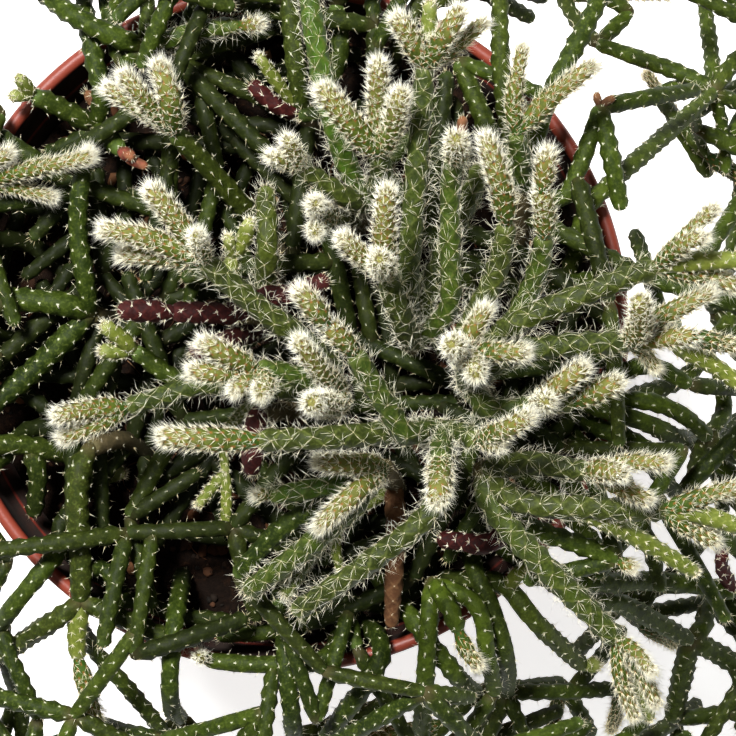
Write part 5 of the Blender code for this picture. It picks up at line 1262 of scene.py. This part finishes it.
def pot_material():
    g = Nodes("terracotta_coloured_plastic")
    wear, cloud, speck = g.value("wear"), g.noise(28, 3), g.noise(1500, 2)
    inner = g.value("inner")
    body = g.mix(g.span(cloud, 0.3, 0.7), (0.124, 0.0125, 0.0060), (0.158, 0.0175, 0.0085))
    body = g.mix(g.maths("MULTIPLY", g.span(speck, 0.55, 0.75), 0.22), body, (0.30, 0.060, 0.032))
    # the crown of the rim, its top 1.4 mm, is made lighter
    body = g.mix(g.maths("MULTIPLY", wear, 0.35), body, (0.34, 0.080, 0.045))
    # soil stain and painted shade: the whole inside of the pot is darkened, a little patchily, nearly to black
    stain_and_shade = g.maths("MULTIPLY", inner, g.span(g.noise(160, 5, 0.7), 0.30, 0.55, 0.86, 1.0))
    body = g.mix(stain_and_shade, body, (0.014, 0.007, 0.004))
    g.bump(g.maths("ADD", speck, g.maths("MULTIPLY", g.noise(420, 2), 0.6)), 0.00007, 0.6)
    rough = g.maths("ADD", g.span(cloud, 0.3, 0.7, 0.42, 0.52), g.maths("MULTIPLY", stain_and_shade, 0.4))
    return g.done(body, rough, Specular_IOR_Level=0.36)


def floor_material():
    g = Nodes("pale_floor")
    cloud = g.noise(6, 2)
    return g.done(g.mix(g.span(cloud, 0.3, 0.7), (0.92, 0.92, 0.91), (0.95, 0.95, 0.94)), g.span(g.noise(80, 2), 0.3, 0.7, 0.65, 0.75),
                  Emission_Color=(1.0, 1.0, 0.99, 1.0), Emission_Strength=0.75)


# ------------------------------------------------------------------- cuttings
TONES = {"O": 0.62, "P": 0.5, "Q": 0.42, "R": 0.55, "E": 0.5, "J": 0.45, "N": 0.3}
HUES = {"E1": 0.9, "J0": 0.8, "K4a": 1.0, "K4b": 0.8, "C3b": 0.2, "Nb": 0.0, "Gb": 0.0, "Kb": 0.1, "H1": 0.75, "H1c": 0.5, "D1": 0.0, "D2": 0.0, "B2": 0.05, "Jy": 0.0, "Iy": 0.0, "Ay": 0.15, "Fy": 0.25}


def build_cuttings(stems):
    skins = [skin(k) for k in KINDS]
    hair = bristle_material()
    names = sorted({s["cutting"] for s in stems})
    with_children = {s["parent"] for s in stems if s["parent"] >= 0 and s["share"] > 0.97}
    totals = [0, 0, 0]
    for number, cutting in enumerate(names):
        own = [k for k, s in enumerate(stems) if s["cutting"] == cutting]
        V, T, UV, M, values, sizes, hairs = [], [], [], [], {}, [], []
        at = 0
        for k in own:
            stem = stems[k]
            rng = np.random.default_rng(1000 + k)
            if "_" in stem["name"] and stem["kind"] == "y" and stem["line"][:, 2].max() > 85:
                stem["kind"] = "l"
            verts, tris, uv, given, tufts, tip, size = stem_surface(stem, k not in with_children, rng)
            rho = float(np.hypot(*stem["line"].mean(0)[:2]))
            # painted shade: undergrowth joints get a random extra shade, stronger inside the pot; together with the
            # depth it darkens their skin and bristles, and green joints keep less of it
            shade = 0.0
            if "_" in stem["name"]:
                shade = rng.uniform(0.40, 0.85) if rho < RIM_RADIUS - 4 else rng.uniform(0.0, 0.4)
            given["deep"] = np.clip(depth_of(verts) + shade, 0, 1)
            given["hue"] = np.full(len(verts), HUES.get(stem["name"], HUES.get(cutting + stem["kind"], rng.uniform(0, 0.9) ** (3 if stem["kind"] in "ml" else 1.7))))
            if stem["kind"] == "g":
                given["deep"] = given["deep"] * 0.3
            given["tone"] = np.full(len(verts), np.clip(TONES.get(cutting, 0.22) + rng.uniform(-0.2, 0.25), 0, 1))
            V.append(verts)
            T.append(tris + at)
            UV.append(uv)
            M.append(np.full(len(tris), KINDS.index(stem["kind"])))
            sizes.append(size)
            for key, array in given.items():
                values.setdefault(key, []).append(array)
            at += len(verts)
            hairs += [(made, shade * 0.8) for made in tuft_bristles(stem["kind"], tufts, tip, k in with_children, "_" in stem["name"], rng)]
        spots, side = packed_strips(sizes)
        UV = [(uv + np.array(spot) + 0.5) / side for uv, spot in zip(UV, spots)]
        used = sorted(set(np.concatenate(M).tolist()))
        M = np.searchsorted(used, np.concatenate(M))
        label = "cutting_%02d" % (number + 1)
        body = add_mesh(label + "_stems", np.vstack(V), np.vstack(T), np.vstack(UV),
                        {key: np.concatenate(a) for key, a in values.items()}, [skins[u] for u in used], M)
        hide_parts(label)
        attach(body, "root")
        V, T, UV, at = [], [], [], 0
        for args in hairs:
            (root, lead, curl, length, width, tone, fine), shade = args
            # painted shade: bristles deep in the plant, and on the undergrowth, get a darker tone
            tone = tone + (1 - tone) * 0.92 * np.clip(depth_of(root) + shade, 0, 1)
            verts, tris, uv = bristle_arrays(root, lead, curl, length, width, tone, fine)
            V.append(verts)
            T.append(tris + at)
            UV.append(uv)
            at += len(verts)
        T = np.vstack(T)
        coat = add_mesh(label + "_bristles", np.vstack(V), T, np.vstack(UV), {}, [hair], np.zeros(len(T), int))
        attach(coat, "root")
        totals[0] += len(body.data.polygons)
        totals[1] += len(T)
        totals[2] = max(totals[2], len(T), len(body.data.polygons))
    print("COUNT stems", totals[0], "bristles", totals[1], "largest piece", totals[2])


# ----------------------------------------------------------------------- soil
def waves(x, y, size, seed):
    """Smooth random heights from -1 to 1 over a plane, in lumps of about the given size."""
    table = np.random.default_rng(seed).uniform(-1, 1, (64, 64))
    u, v = x / size + 31.3, y / size + 27.7
    i, j = np.floor(u).astype(int), np.floor(v).astype(int)
    a, b = ease(u - i), ease(v - j)
    p = [[table[(i + di) % 64, (j + dj) % 64] for dj in (0, 1)] for di in (0, 1)]
    return (p[0][0] * (1 - a) + p[1][0] * a) * (1 - b) + (p[0][1] * (1 - a) + p[1][1] * a) * b


def soil_height(x, y):
    return 0.75 * waves(x, y, 9, 1) + 0.45 * waves(x, y, 3.1, 2) + 0.28 * waves(x, y, 1.3, 3)


def build_soil():
    rng = np.random.default_rng(77)
    edge = pot_inside(SOIL_TOP) - SOIL_GAP - 0.5
    around, rings = 168, 60
    radii = np.concatenate([np.linspace(0.6, edge, rings), [edge + 0.05, edge - 0.6]])
    r = radii[:, None] * np.ones((1, around))
    turn = (2 * math.pi * np.arange(around) / around)[None, :] + 0.5 * math.pi / around * (np.arange(len(radii)) % 2)[:, None]
    x, y = r * np.cos(turn), r * np.sin(turn)
    z = SOIL_TOP + soil_height(x, y) * ease((edge + 2.5 - r) / 5)
    z[-2] = SOIL_TOP - 1.6
    z[-1] = SOIL_TOP - 4.0
    low = [(pot_inside(60) - SOIL_GAP, 60.0), (pot_inside(20) - SOIL_GAP, 20.0), (FOOT_RADIUS - WALL - SOIL_GAP - 0.6, FLOOR + 3.0),
           (FOOT_RADIUS - WALL - SOIL_GAP - 2.0, FLOOR + SOIL_GAP), (0.6, FLOOR + SOIL_GAP)]
    for radius, height in low:
        lumps = 0.25 * waves(turn[:1] * 30, turn[:1] * 0 + height, 3, 5) if 3.5 < height < 99 else 0
        x = np.vstack([x, (radius - 0.25 + lumps) * np.cos(turn[:1])])
        y = np.vstack([y, (radius - 0.25 + lumps) * np.sin(turn[:1])])
        z = np.vstack([z, np.full((1, around), height)])
    rows = len(x)
    verts = np.stack([x, y, z], -1).reshape(-1, 3)
    grid = np.arange(rows * around).reshape(rows, around)
    nxt = np.roll(grid, -1, 1)
    top, bottom = rows * around, rows * around + 1
    verts = np.vstack([verts, [0, 0, SOIL_TOP + float(soil_height(np.zeros(1), np.zeros(1))[0])], [0, 0, FLOOR + SOIL_GAP]])
    tris = np.concatenate([
        np.stack([grid[:-1], grid[1:], nxt[1:]], -1).reshape(-1, 3),
        np.stack([grid[:-1], nxt[1:], nxt[:-1]], -1).reshape(-1, 3),
        np.stack([np.full(around, top), grid[0], nxt[0]], -1),
        np.stack([grid[-1], np.full(around, bottom), nxt[-1]], -1),
    ])
    P = verts[tris]
    upper = np.zeros(len(tris), bool)
    upper[: 2 * (rows - 1) * around] = True
    uv = np.empty((len(tris), 3, 2))
    uv[..., 0] = 0.5 + P[..., 0] / (edge * 2.1)
    uv[..., 1] = 0.45 + P[..., 1] / (edge * 2.1) * 0.88
    shift = P[..., 2].min(1) < SOIL_TOP - 5
    angle = np.arctan2(P[..., 1], P[..., 0]) / (2 * math.pi) + 0.5
    seam = (angle.max(1) - angle.min(1)) > 0.5
    angle = np.where(seam[:, None] & (angle < 0.5), angle + 1, angle)
    uv[..., 0] = np.where(shift[:, None], angle * 0.9, uv[..., 0])
    uv[..., 1] = np.where(shift[:, None], 0.90 + P[..., 2] / SOIL_TOP * 0.03, uv[..., 1])
    V, T, UV, M = [verts], [tris], [uv], [np.zeros(len(tris), int)]
    tone = [np.clip(0.5 + 0.5 * waves(verts[:, 0], verts[:, 1], 14, 9), 0, 1)]
    # grains, bark chips and short fibres lying in the top
    phi = (1 + 5**0.5) / 2
    ball = unit(np.array([(-1, phi, 0), (1, phi, 0), (-1, -phi, 0), (1, -phi, 0), (0, -1, phi), (0, 1, phi),
                          (0, -1, -phi), (0, 1, -phi), (phi, 0, -1), (phi, 0, 1), (-phi, 0, -1), (-phi, 0, 1)], float))
    faces = np.array([(0, 11, 5), (0, 5, 1), (0, 1, 7), (0, 7, 10), (0, 10, 11), (1, 5, 9), (5, 11, 4), (11, 10, 2),
                      (10, 7, 6), (7, 1, 8), (3, 9, 4), (3, 4, 2), (3, 2, 6), (3, 6, 8), (3, 8, 9), (4, 9, 5),
                      (2, 4, 11), (6, 2, 10), (8, 6, 7), (9, 8, 1)])
    count = 1600
    chip = rng.uniform(0, 1, count)
    big = np.where(chip > 0.86, rng.uniform(1.1, 2.3, count), rng.uniform(0.25, 0.95, count))
    size = np.stack([big, big * rng.uniform(0.5, 0.95, count), big * np.where(chip > 0.86, 0.32, 0.7)], -1)
    rho, a = (edge - 2.6) * np.sqrt(rng.uniform(0, 1, count)), rng.uniform(0, 2 * math.pi, count)
    cx, cy = rho * np.cos(a), rho * np.sin(a)
    cz = SOIL_TOP + soil_height(cx, cy) * ease((edge + 2.5 - rho) / 5) + size[:, 2] * 0.35
    spin, lean, roll = rng.uniform(0, 2 * math.pi, count), rng.normal(0, 0.35, count), rng.normal(0, 0.35, count)
    local = ball[None] * size[:, None, :] * rng.uniform(0.78, 1.15, (count, 12, 1))
    c, s = np.cos(lean)[:, None], np.sin(lean)[:, None]
    X, Y, Z = local[..., 0], local[..., 1], local[..., 2]
    Y, Z = Y * c - Z * s, Y * s + Z * c
    c, s = np.cos(roll)[:, None], np.sin(roll)[:, None]
    X, Z = X * c - Z * s, X * s + Z * c
    c, s = np.cos(spin)[:, None], np.sin(spin)[:, None]
    X, Y = X * c - Y * s, X * s + Y * c
    blobs = np.stack([X + cx[:, None], Y + cy[:, None], Z + cz[:, None]], -1).reshape(-1, 3)
    at = len(verts)
    tris = (np.arange(count)[:, None, None] * 12 + faces[None]).reshape(-1, 3)
    hue = np.where(chip > 0.86, rng.uniform(0.5, 0.95, count), rng.uniform(0.0, 0.6, count))
    hue = np.where(rng.uniform(0, 1, count) > 0.985, 1.0, hue)
    hu = np.repeat(hue, 12) * 0.96 + 0.02 + np.tile(np.linspace(-0.006, 0.006, 12), count)
    hv = 0.94 + np.tile(0.5 + ball[:, 2] * 0.5, count) * 0.05
    V.append(blobs)
    T.append(tris + at)
    UV.append(np.stack([hu, hv], -1)[tris])
    M.append(np.ones(len(tris), int))
    tone.append(np.zeros(len(blobs)))
    at += len(blobs)
    for number in range(170):
        n = 7
        start = np.array([*(rng.uniform(-edge + 8, edge - 8, 2) * 0.72), 0])
        heading, bend = rng.uniform(0, 2 * math.pi), rng.normal(0, 0.09)
        length, wide = rng.uniform(4, 13), rng.uniform(0.10, 0.22)
        d = heading + bend * np.arange(n) * 3
        step = np.stack([np.cos(d), np.sin(d)], -1) * length / n
        path = start[:2] + np.cumsum(step, 0)
        height = SOIL_TOP + soil_height(path[:, 0], path[:, 1]) + wide * 0.8 + 0.5 * np.abs(np.sin(np.arange(n) * 0.9 + number))
        line = np.column_stack([path, height])
        t, u, w = frames_along(line)
        ringed = []
        for k in range(3):
            q = 2 * math.pi * k / 3
            ringed.append(line + (u * math.cos(q) + w * math.sin(q)) * wide * np.linspace(1, 0.45, n)[:, None])
        tube = np.stack(ringed, 1)
        g = np.arange(n * 3).reshape(n, 3)
        gn = np.roll(g, -1, 1)
        tris = np.concatenate([
            np.stack([g[:-1], gn[:-1], gn[1:]], -1).reshape(-1, 3), np.stack([g[:-1], gn[1:], g[1:]], -1).reshape(-1, 3),
            [[g[0, 0], g[0, 2], g[0, 1]], [g[-1, 0], g[-1, 1], g[-1, 2]]],
        ])
        V.append(tube.reshape(-1, 3))
        T.append(tris + at)
        h = rng.uniform(0.55, 0.98)
        flat = np.stack([h * 0.96 + 0.02 + np.tile([-0.005, 0, 0.005], n), 0.94 + 0.05 * np.repeat(np.linspace(0, 1, n), 3)], -1)
        UV.append(flat[tris])
        M.append(np.ones(len(tris), int))
        tone.append(np.zeros(n * 3))
        at += n * 3
    tris = np.vstack(T)
    soil = add_mesh("potting_soil", np.vstack(V), tris, np.vstack(UV), {"tone": np.concatenate(tone)},
                    [soil_material(), chip_material()], np.concatenate(M))
    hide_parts("soil")
    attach(soil, "root")
    print("COUNT soil", len(tris))


# ------------------------------------------------------------------------ pot
def arc(cx, cz, r, start, stop, count):
    return [(cx + r * math.cos(math.radians(a)), cz + r * math.sin(math.radians(a))) for a in np.linspace(start, stop, count)]


def build_pot():
    h, r, under = POT_HEIGHT, RIM_RADIUS, POT_HEIGHT - RIM_DEPTH
    bead = RIM_THICK / 2
    wall_out = [(pot_outside(z) + 0.06 * math.sin(z * 1.9), z) for z in np.linspace(4, under - 3, 22)]
    wall_in = [(pot_inside(z) - 0.0, z) for z in np.linspace(under - 3, FLOOR + 4, 14)]
    outline = [(0.0, 0.9), (FOOT_RADIUS - 6.0, 0.9), (FOOT_RADIUS - 5.2, 0.5)]
    outline += arc(FOOT_RADIUS - 3.6, 0.6, 0.6, 200, 300, 4) + arc(FOOT_RADIUS - 1.5, 1.5, 1.5, -80, -6, 6)
    outline += wall_out
    outline += arc(BODY_TOP_RADIUS + 1.0, under - 1.0, 1.0, 180, 95, 5)
    outline += arc(r - 1.1, under + 1.0, 1.0, -90, -4, 5)
    outline += [(r - 0.25, under + 3.2), (r - 0.2, h - 4.6), (r - 0.25, h - 3.4)]
    outline += arc(r - bead, h - bead, bead, -35, 200, 20)
    outline += [(r - RIM_THICK - 0.05, h - 3.4), (r - RIM_THICK - 0.1, under + 1.6)]
    outline += arc(pot_inside(under - 2) + 0.9, under + 0.6, 0.9, 0, -80, 4)[1:]
    outline += wall_in
    outline += arc(FOOT_RADIUS - WALL - 2.2, FLOOR + 2.2, 2.2, -5, -88, 6)
    outline += [(20.0, FLOOR), (0.0, FLOOR)]
    outline = np.array(outline)
    sides = 176
    turn = 2 * math.pi * np.arange(sides) / sides
    body = outline[1:-1]
    x = body[:, 0][:, None] * np.cos(turn)[None]
    y = body[:, 0][:, None] * np.sin(turn)[None]
    z = np.repeat(body[:, 1][:, None], sides, 1)
    verts = np.vstack([np.stack([x, y, z], -1).reshape(-1, 3), [[0, 0, 0.9], [0, 0, FLOOR]]])
    rows = len(body)
    grid = np.arange(rows * sides).reshape(rows, sides)
    nxt = np.roll(grid, -1, 1)
    under_pole, top_pole = rows * sides, rows * sides + 1
    tris = np.concatenate([
        np.stack([grid[:-1], nxt[:-1], nxt[1:]], -1).reshape(-1, 3),
        np.stack([grid[:-1], nxt[1:], grid[1:]], -1).reshape(-1, 3),
        np.stack([np.full(sides, under_pole), nxt[0], grid[0]], -1),
        np.stack([grid[-1], nxt[-1], np.full(sides, top_pole)], -1),
    ])
    run = np.concatenate([[0], np.cumsum(np.linalg.norm(np.diff(outline, axis=0), axis=1))])
    ring = np.repeat(run[1:-1] / run[-1], sides)
    V = np.concatenate([ring, [0, 1]])
    U = np.concatenate([np.tile(np.arange(sides) / sides, rows), [0.5, 0.5]])
    uv = np.stack([U[tris], V[tris]], -1)
    wrap = (uv[..., 0].max(1) - uv[..., 0].min(1)) > 0.6
    uv[..., 0] = np.where(wrap[:, None] & (uv[..., 0] < 0.3), uv[..., 0] + 1, uv[..., 0])
    uv = uv * 0.98 + 0.01
    height = verts[:, 2]
    rho = np.hypot(verts[:, 0], verts[:, 1])
    inner = ((rho < np.array([pot_outside(v) for v in height]) - 0.9) & (height > FLOOR - 0.5) & (height < h - 1.2)).astype(float)
    wear = ease((height - (h - 1.4)) / 1.2)
    pot = add_mesh("plant_pot", verts, tris, uv, {"inner": inner, "wear": wear}, [pot_material()], np.zeros(len(tris), int))
    drills = bpy.data.collections.new("drain_drills")
    made = []
    for k in range(DRAINS):
        a = 2 * math.pi * (k + 0.25) / DRAINS
        n = 32
        w = 2 * math.pi * np.arange(n) / n
        levels = [(DRAIN_RADIUS, -2.0), (DRAIN_RADIUS, FLOOR + 2.0)]
        ringed = np.concatenate([np.stack([q * np.cos(w), q * np.sin(w), np.full(n, zz)], -1) for q, zz in levels])
        ringed[:, 0] += DRAIN_CIRCLE * math.cos(a)
        ringed[:, 1] += DRAIN_CIRCLE * math.sin(a)
        mesh = bpy.data.meshes.new("drill")
        lo, hi = list(range(n)), list(range(n, 2 * n))
        sheets = [lo[::-1], hi] + [[lo[q], lo[(q + 1) % n], hi[(q + 1) % n], hi[q]] for q in range(n)]
        mesh.from_pydata((ringed / 1000).tolist(), [], sheets)
        drill = bpy.data.objects.new("drill", mesh)
        drills.objects.link(drill)
        made.append(drill)
    bpy.context.scene.collection.children.link(drills)
    cut = pot.modifiers.new("drains", "BOOLEAN")
    cut.operation, cut.solver, cut.operand_type, cut.collection = "DIFFERENCE", "EXACT", "COLLECTION", drills
    shaped = bpy.data.meshes.new_from_object(pot.evaluated_get(bpy.context.evaluated_depsgraph_get()))
    pot.modifiers.clear()
    pot.data = shaped
    for drill in made:
        bpy.data.objects.remove(drill, do_unlink=True)
    bpy.data.collections.remove(drills)
    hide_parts("pot")
    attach(pot, "root")
    print("COUNT pot", len(pot.data.polygons))


# ------------------------------------------------------------ floor and light
def build_stage():
    mesh = bpy.data.meshes.new("floor")
    w = 3.0
    mesh.from_pydata([(-w, -w, 0), (w, -w, 0), (w, w, 0), (-w, w, 0)], [], [(0, 1, 2, 3)])
    mesh.materials.append(floor_material())
    floor = bpy.data.objects.new("floor", mesh)
    bpy.context.scene.collection.objects.link(floor)
    for name, spot, size, power in (("key", (-0.26, 0.38, 1.25), 0.24, 33.0), ("fill", (0.55, -0.5, 1.5), 1.3, 3.0)):
        data = bpy.data.lights.new(name, "AREA")
        data.shape, data.size, data.energy = "DISK", size, power
        lamp = bpy.data.objects.new(name, data)
        lamp.location = spot
        away = np.array(spot) - np.array([0.0, 0.0, 0.1])
        tilt = math.acos(away[2] / np.linalg.norm(away))
        lamp.rotation_euler = (tilt, 0, math.atan2(away[1], away[0]) + math.pi / 2)
        bpy.context.scene.collection.objects.link(lamp)
    world = bpy.data.worlds.new("studio")
    bpy.context.scene.world = world
    world.use_nodes = True
    world.node_tree.nodes["Background"].inputs[0].default_value = (1.0, 0.98, 0.95, 1)
    world.node_tree.nodes["Background"].inputs[1].default_value = 0.065
    bpy.context.scene.view_settings.view_transform = "Standard"


set_camera()
STEMS_SETTLED = skeleton()
build_cuttings(STEMS_SETTLED)
build_soil()
build_pot()
build_stage()


bpy.context.view_layer.update()
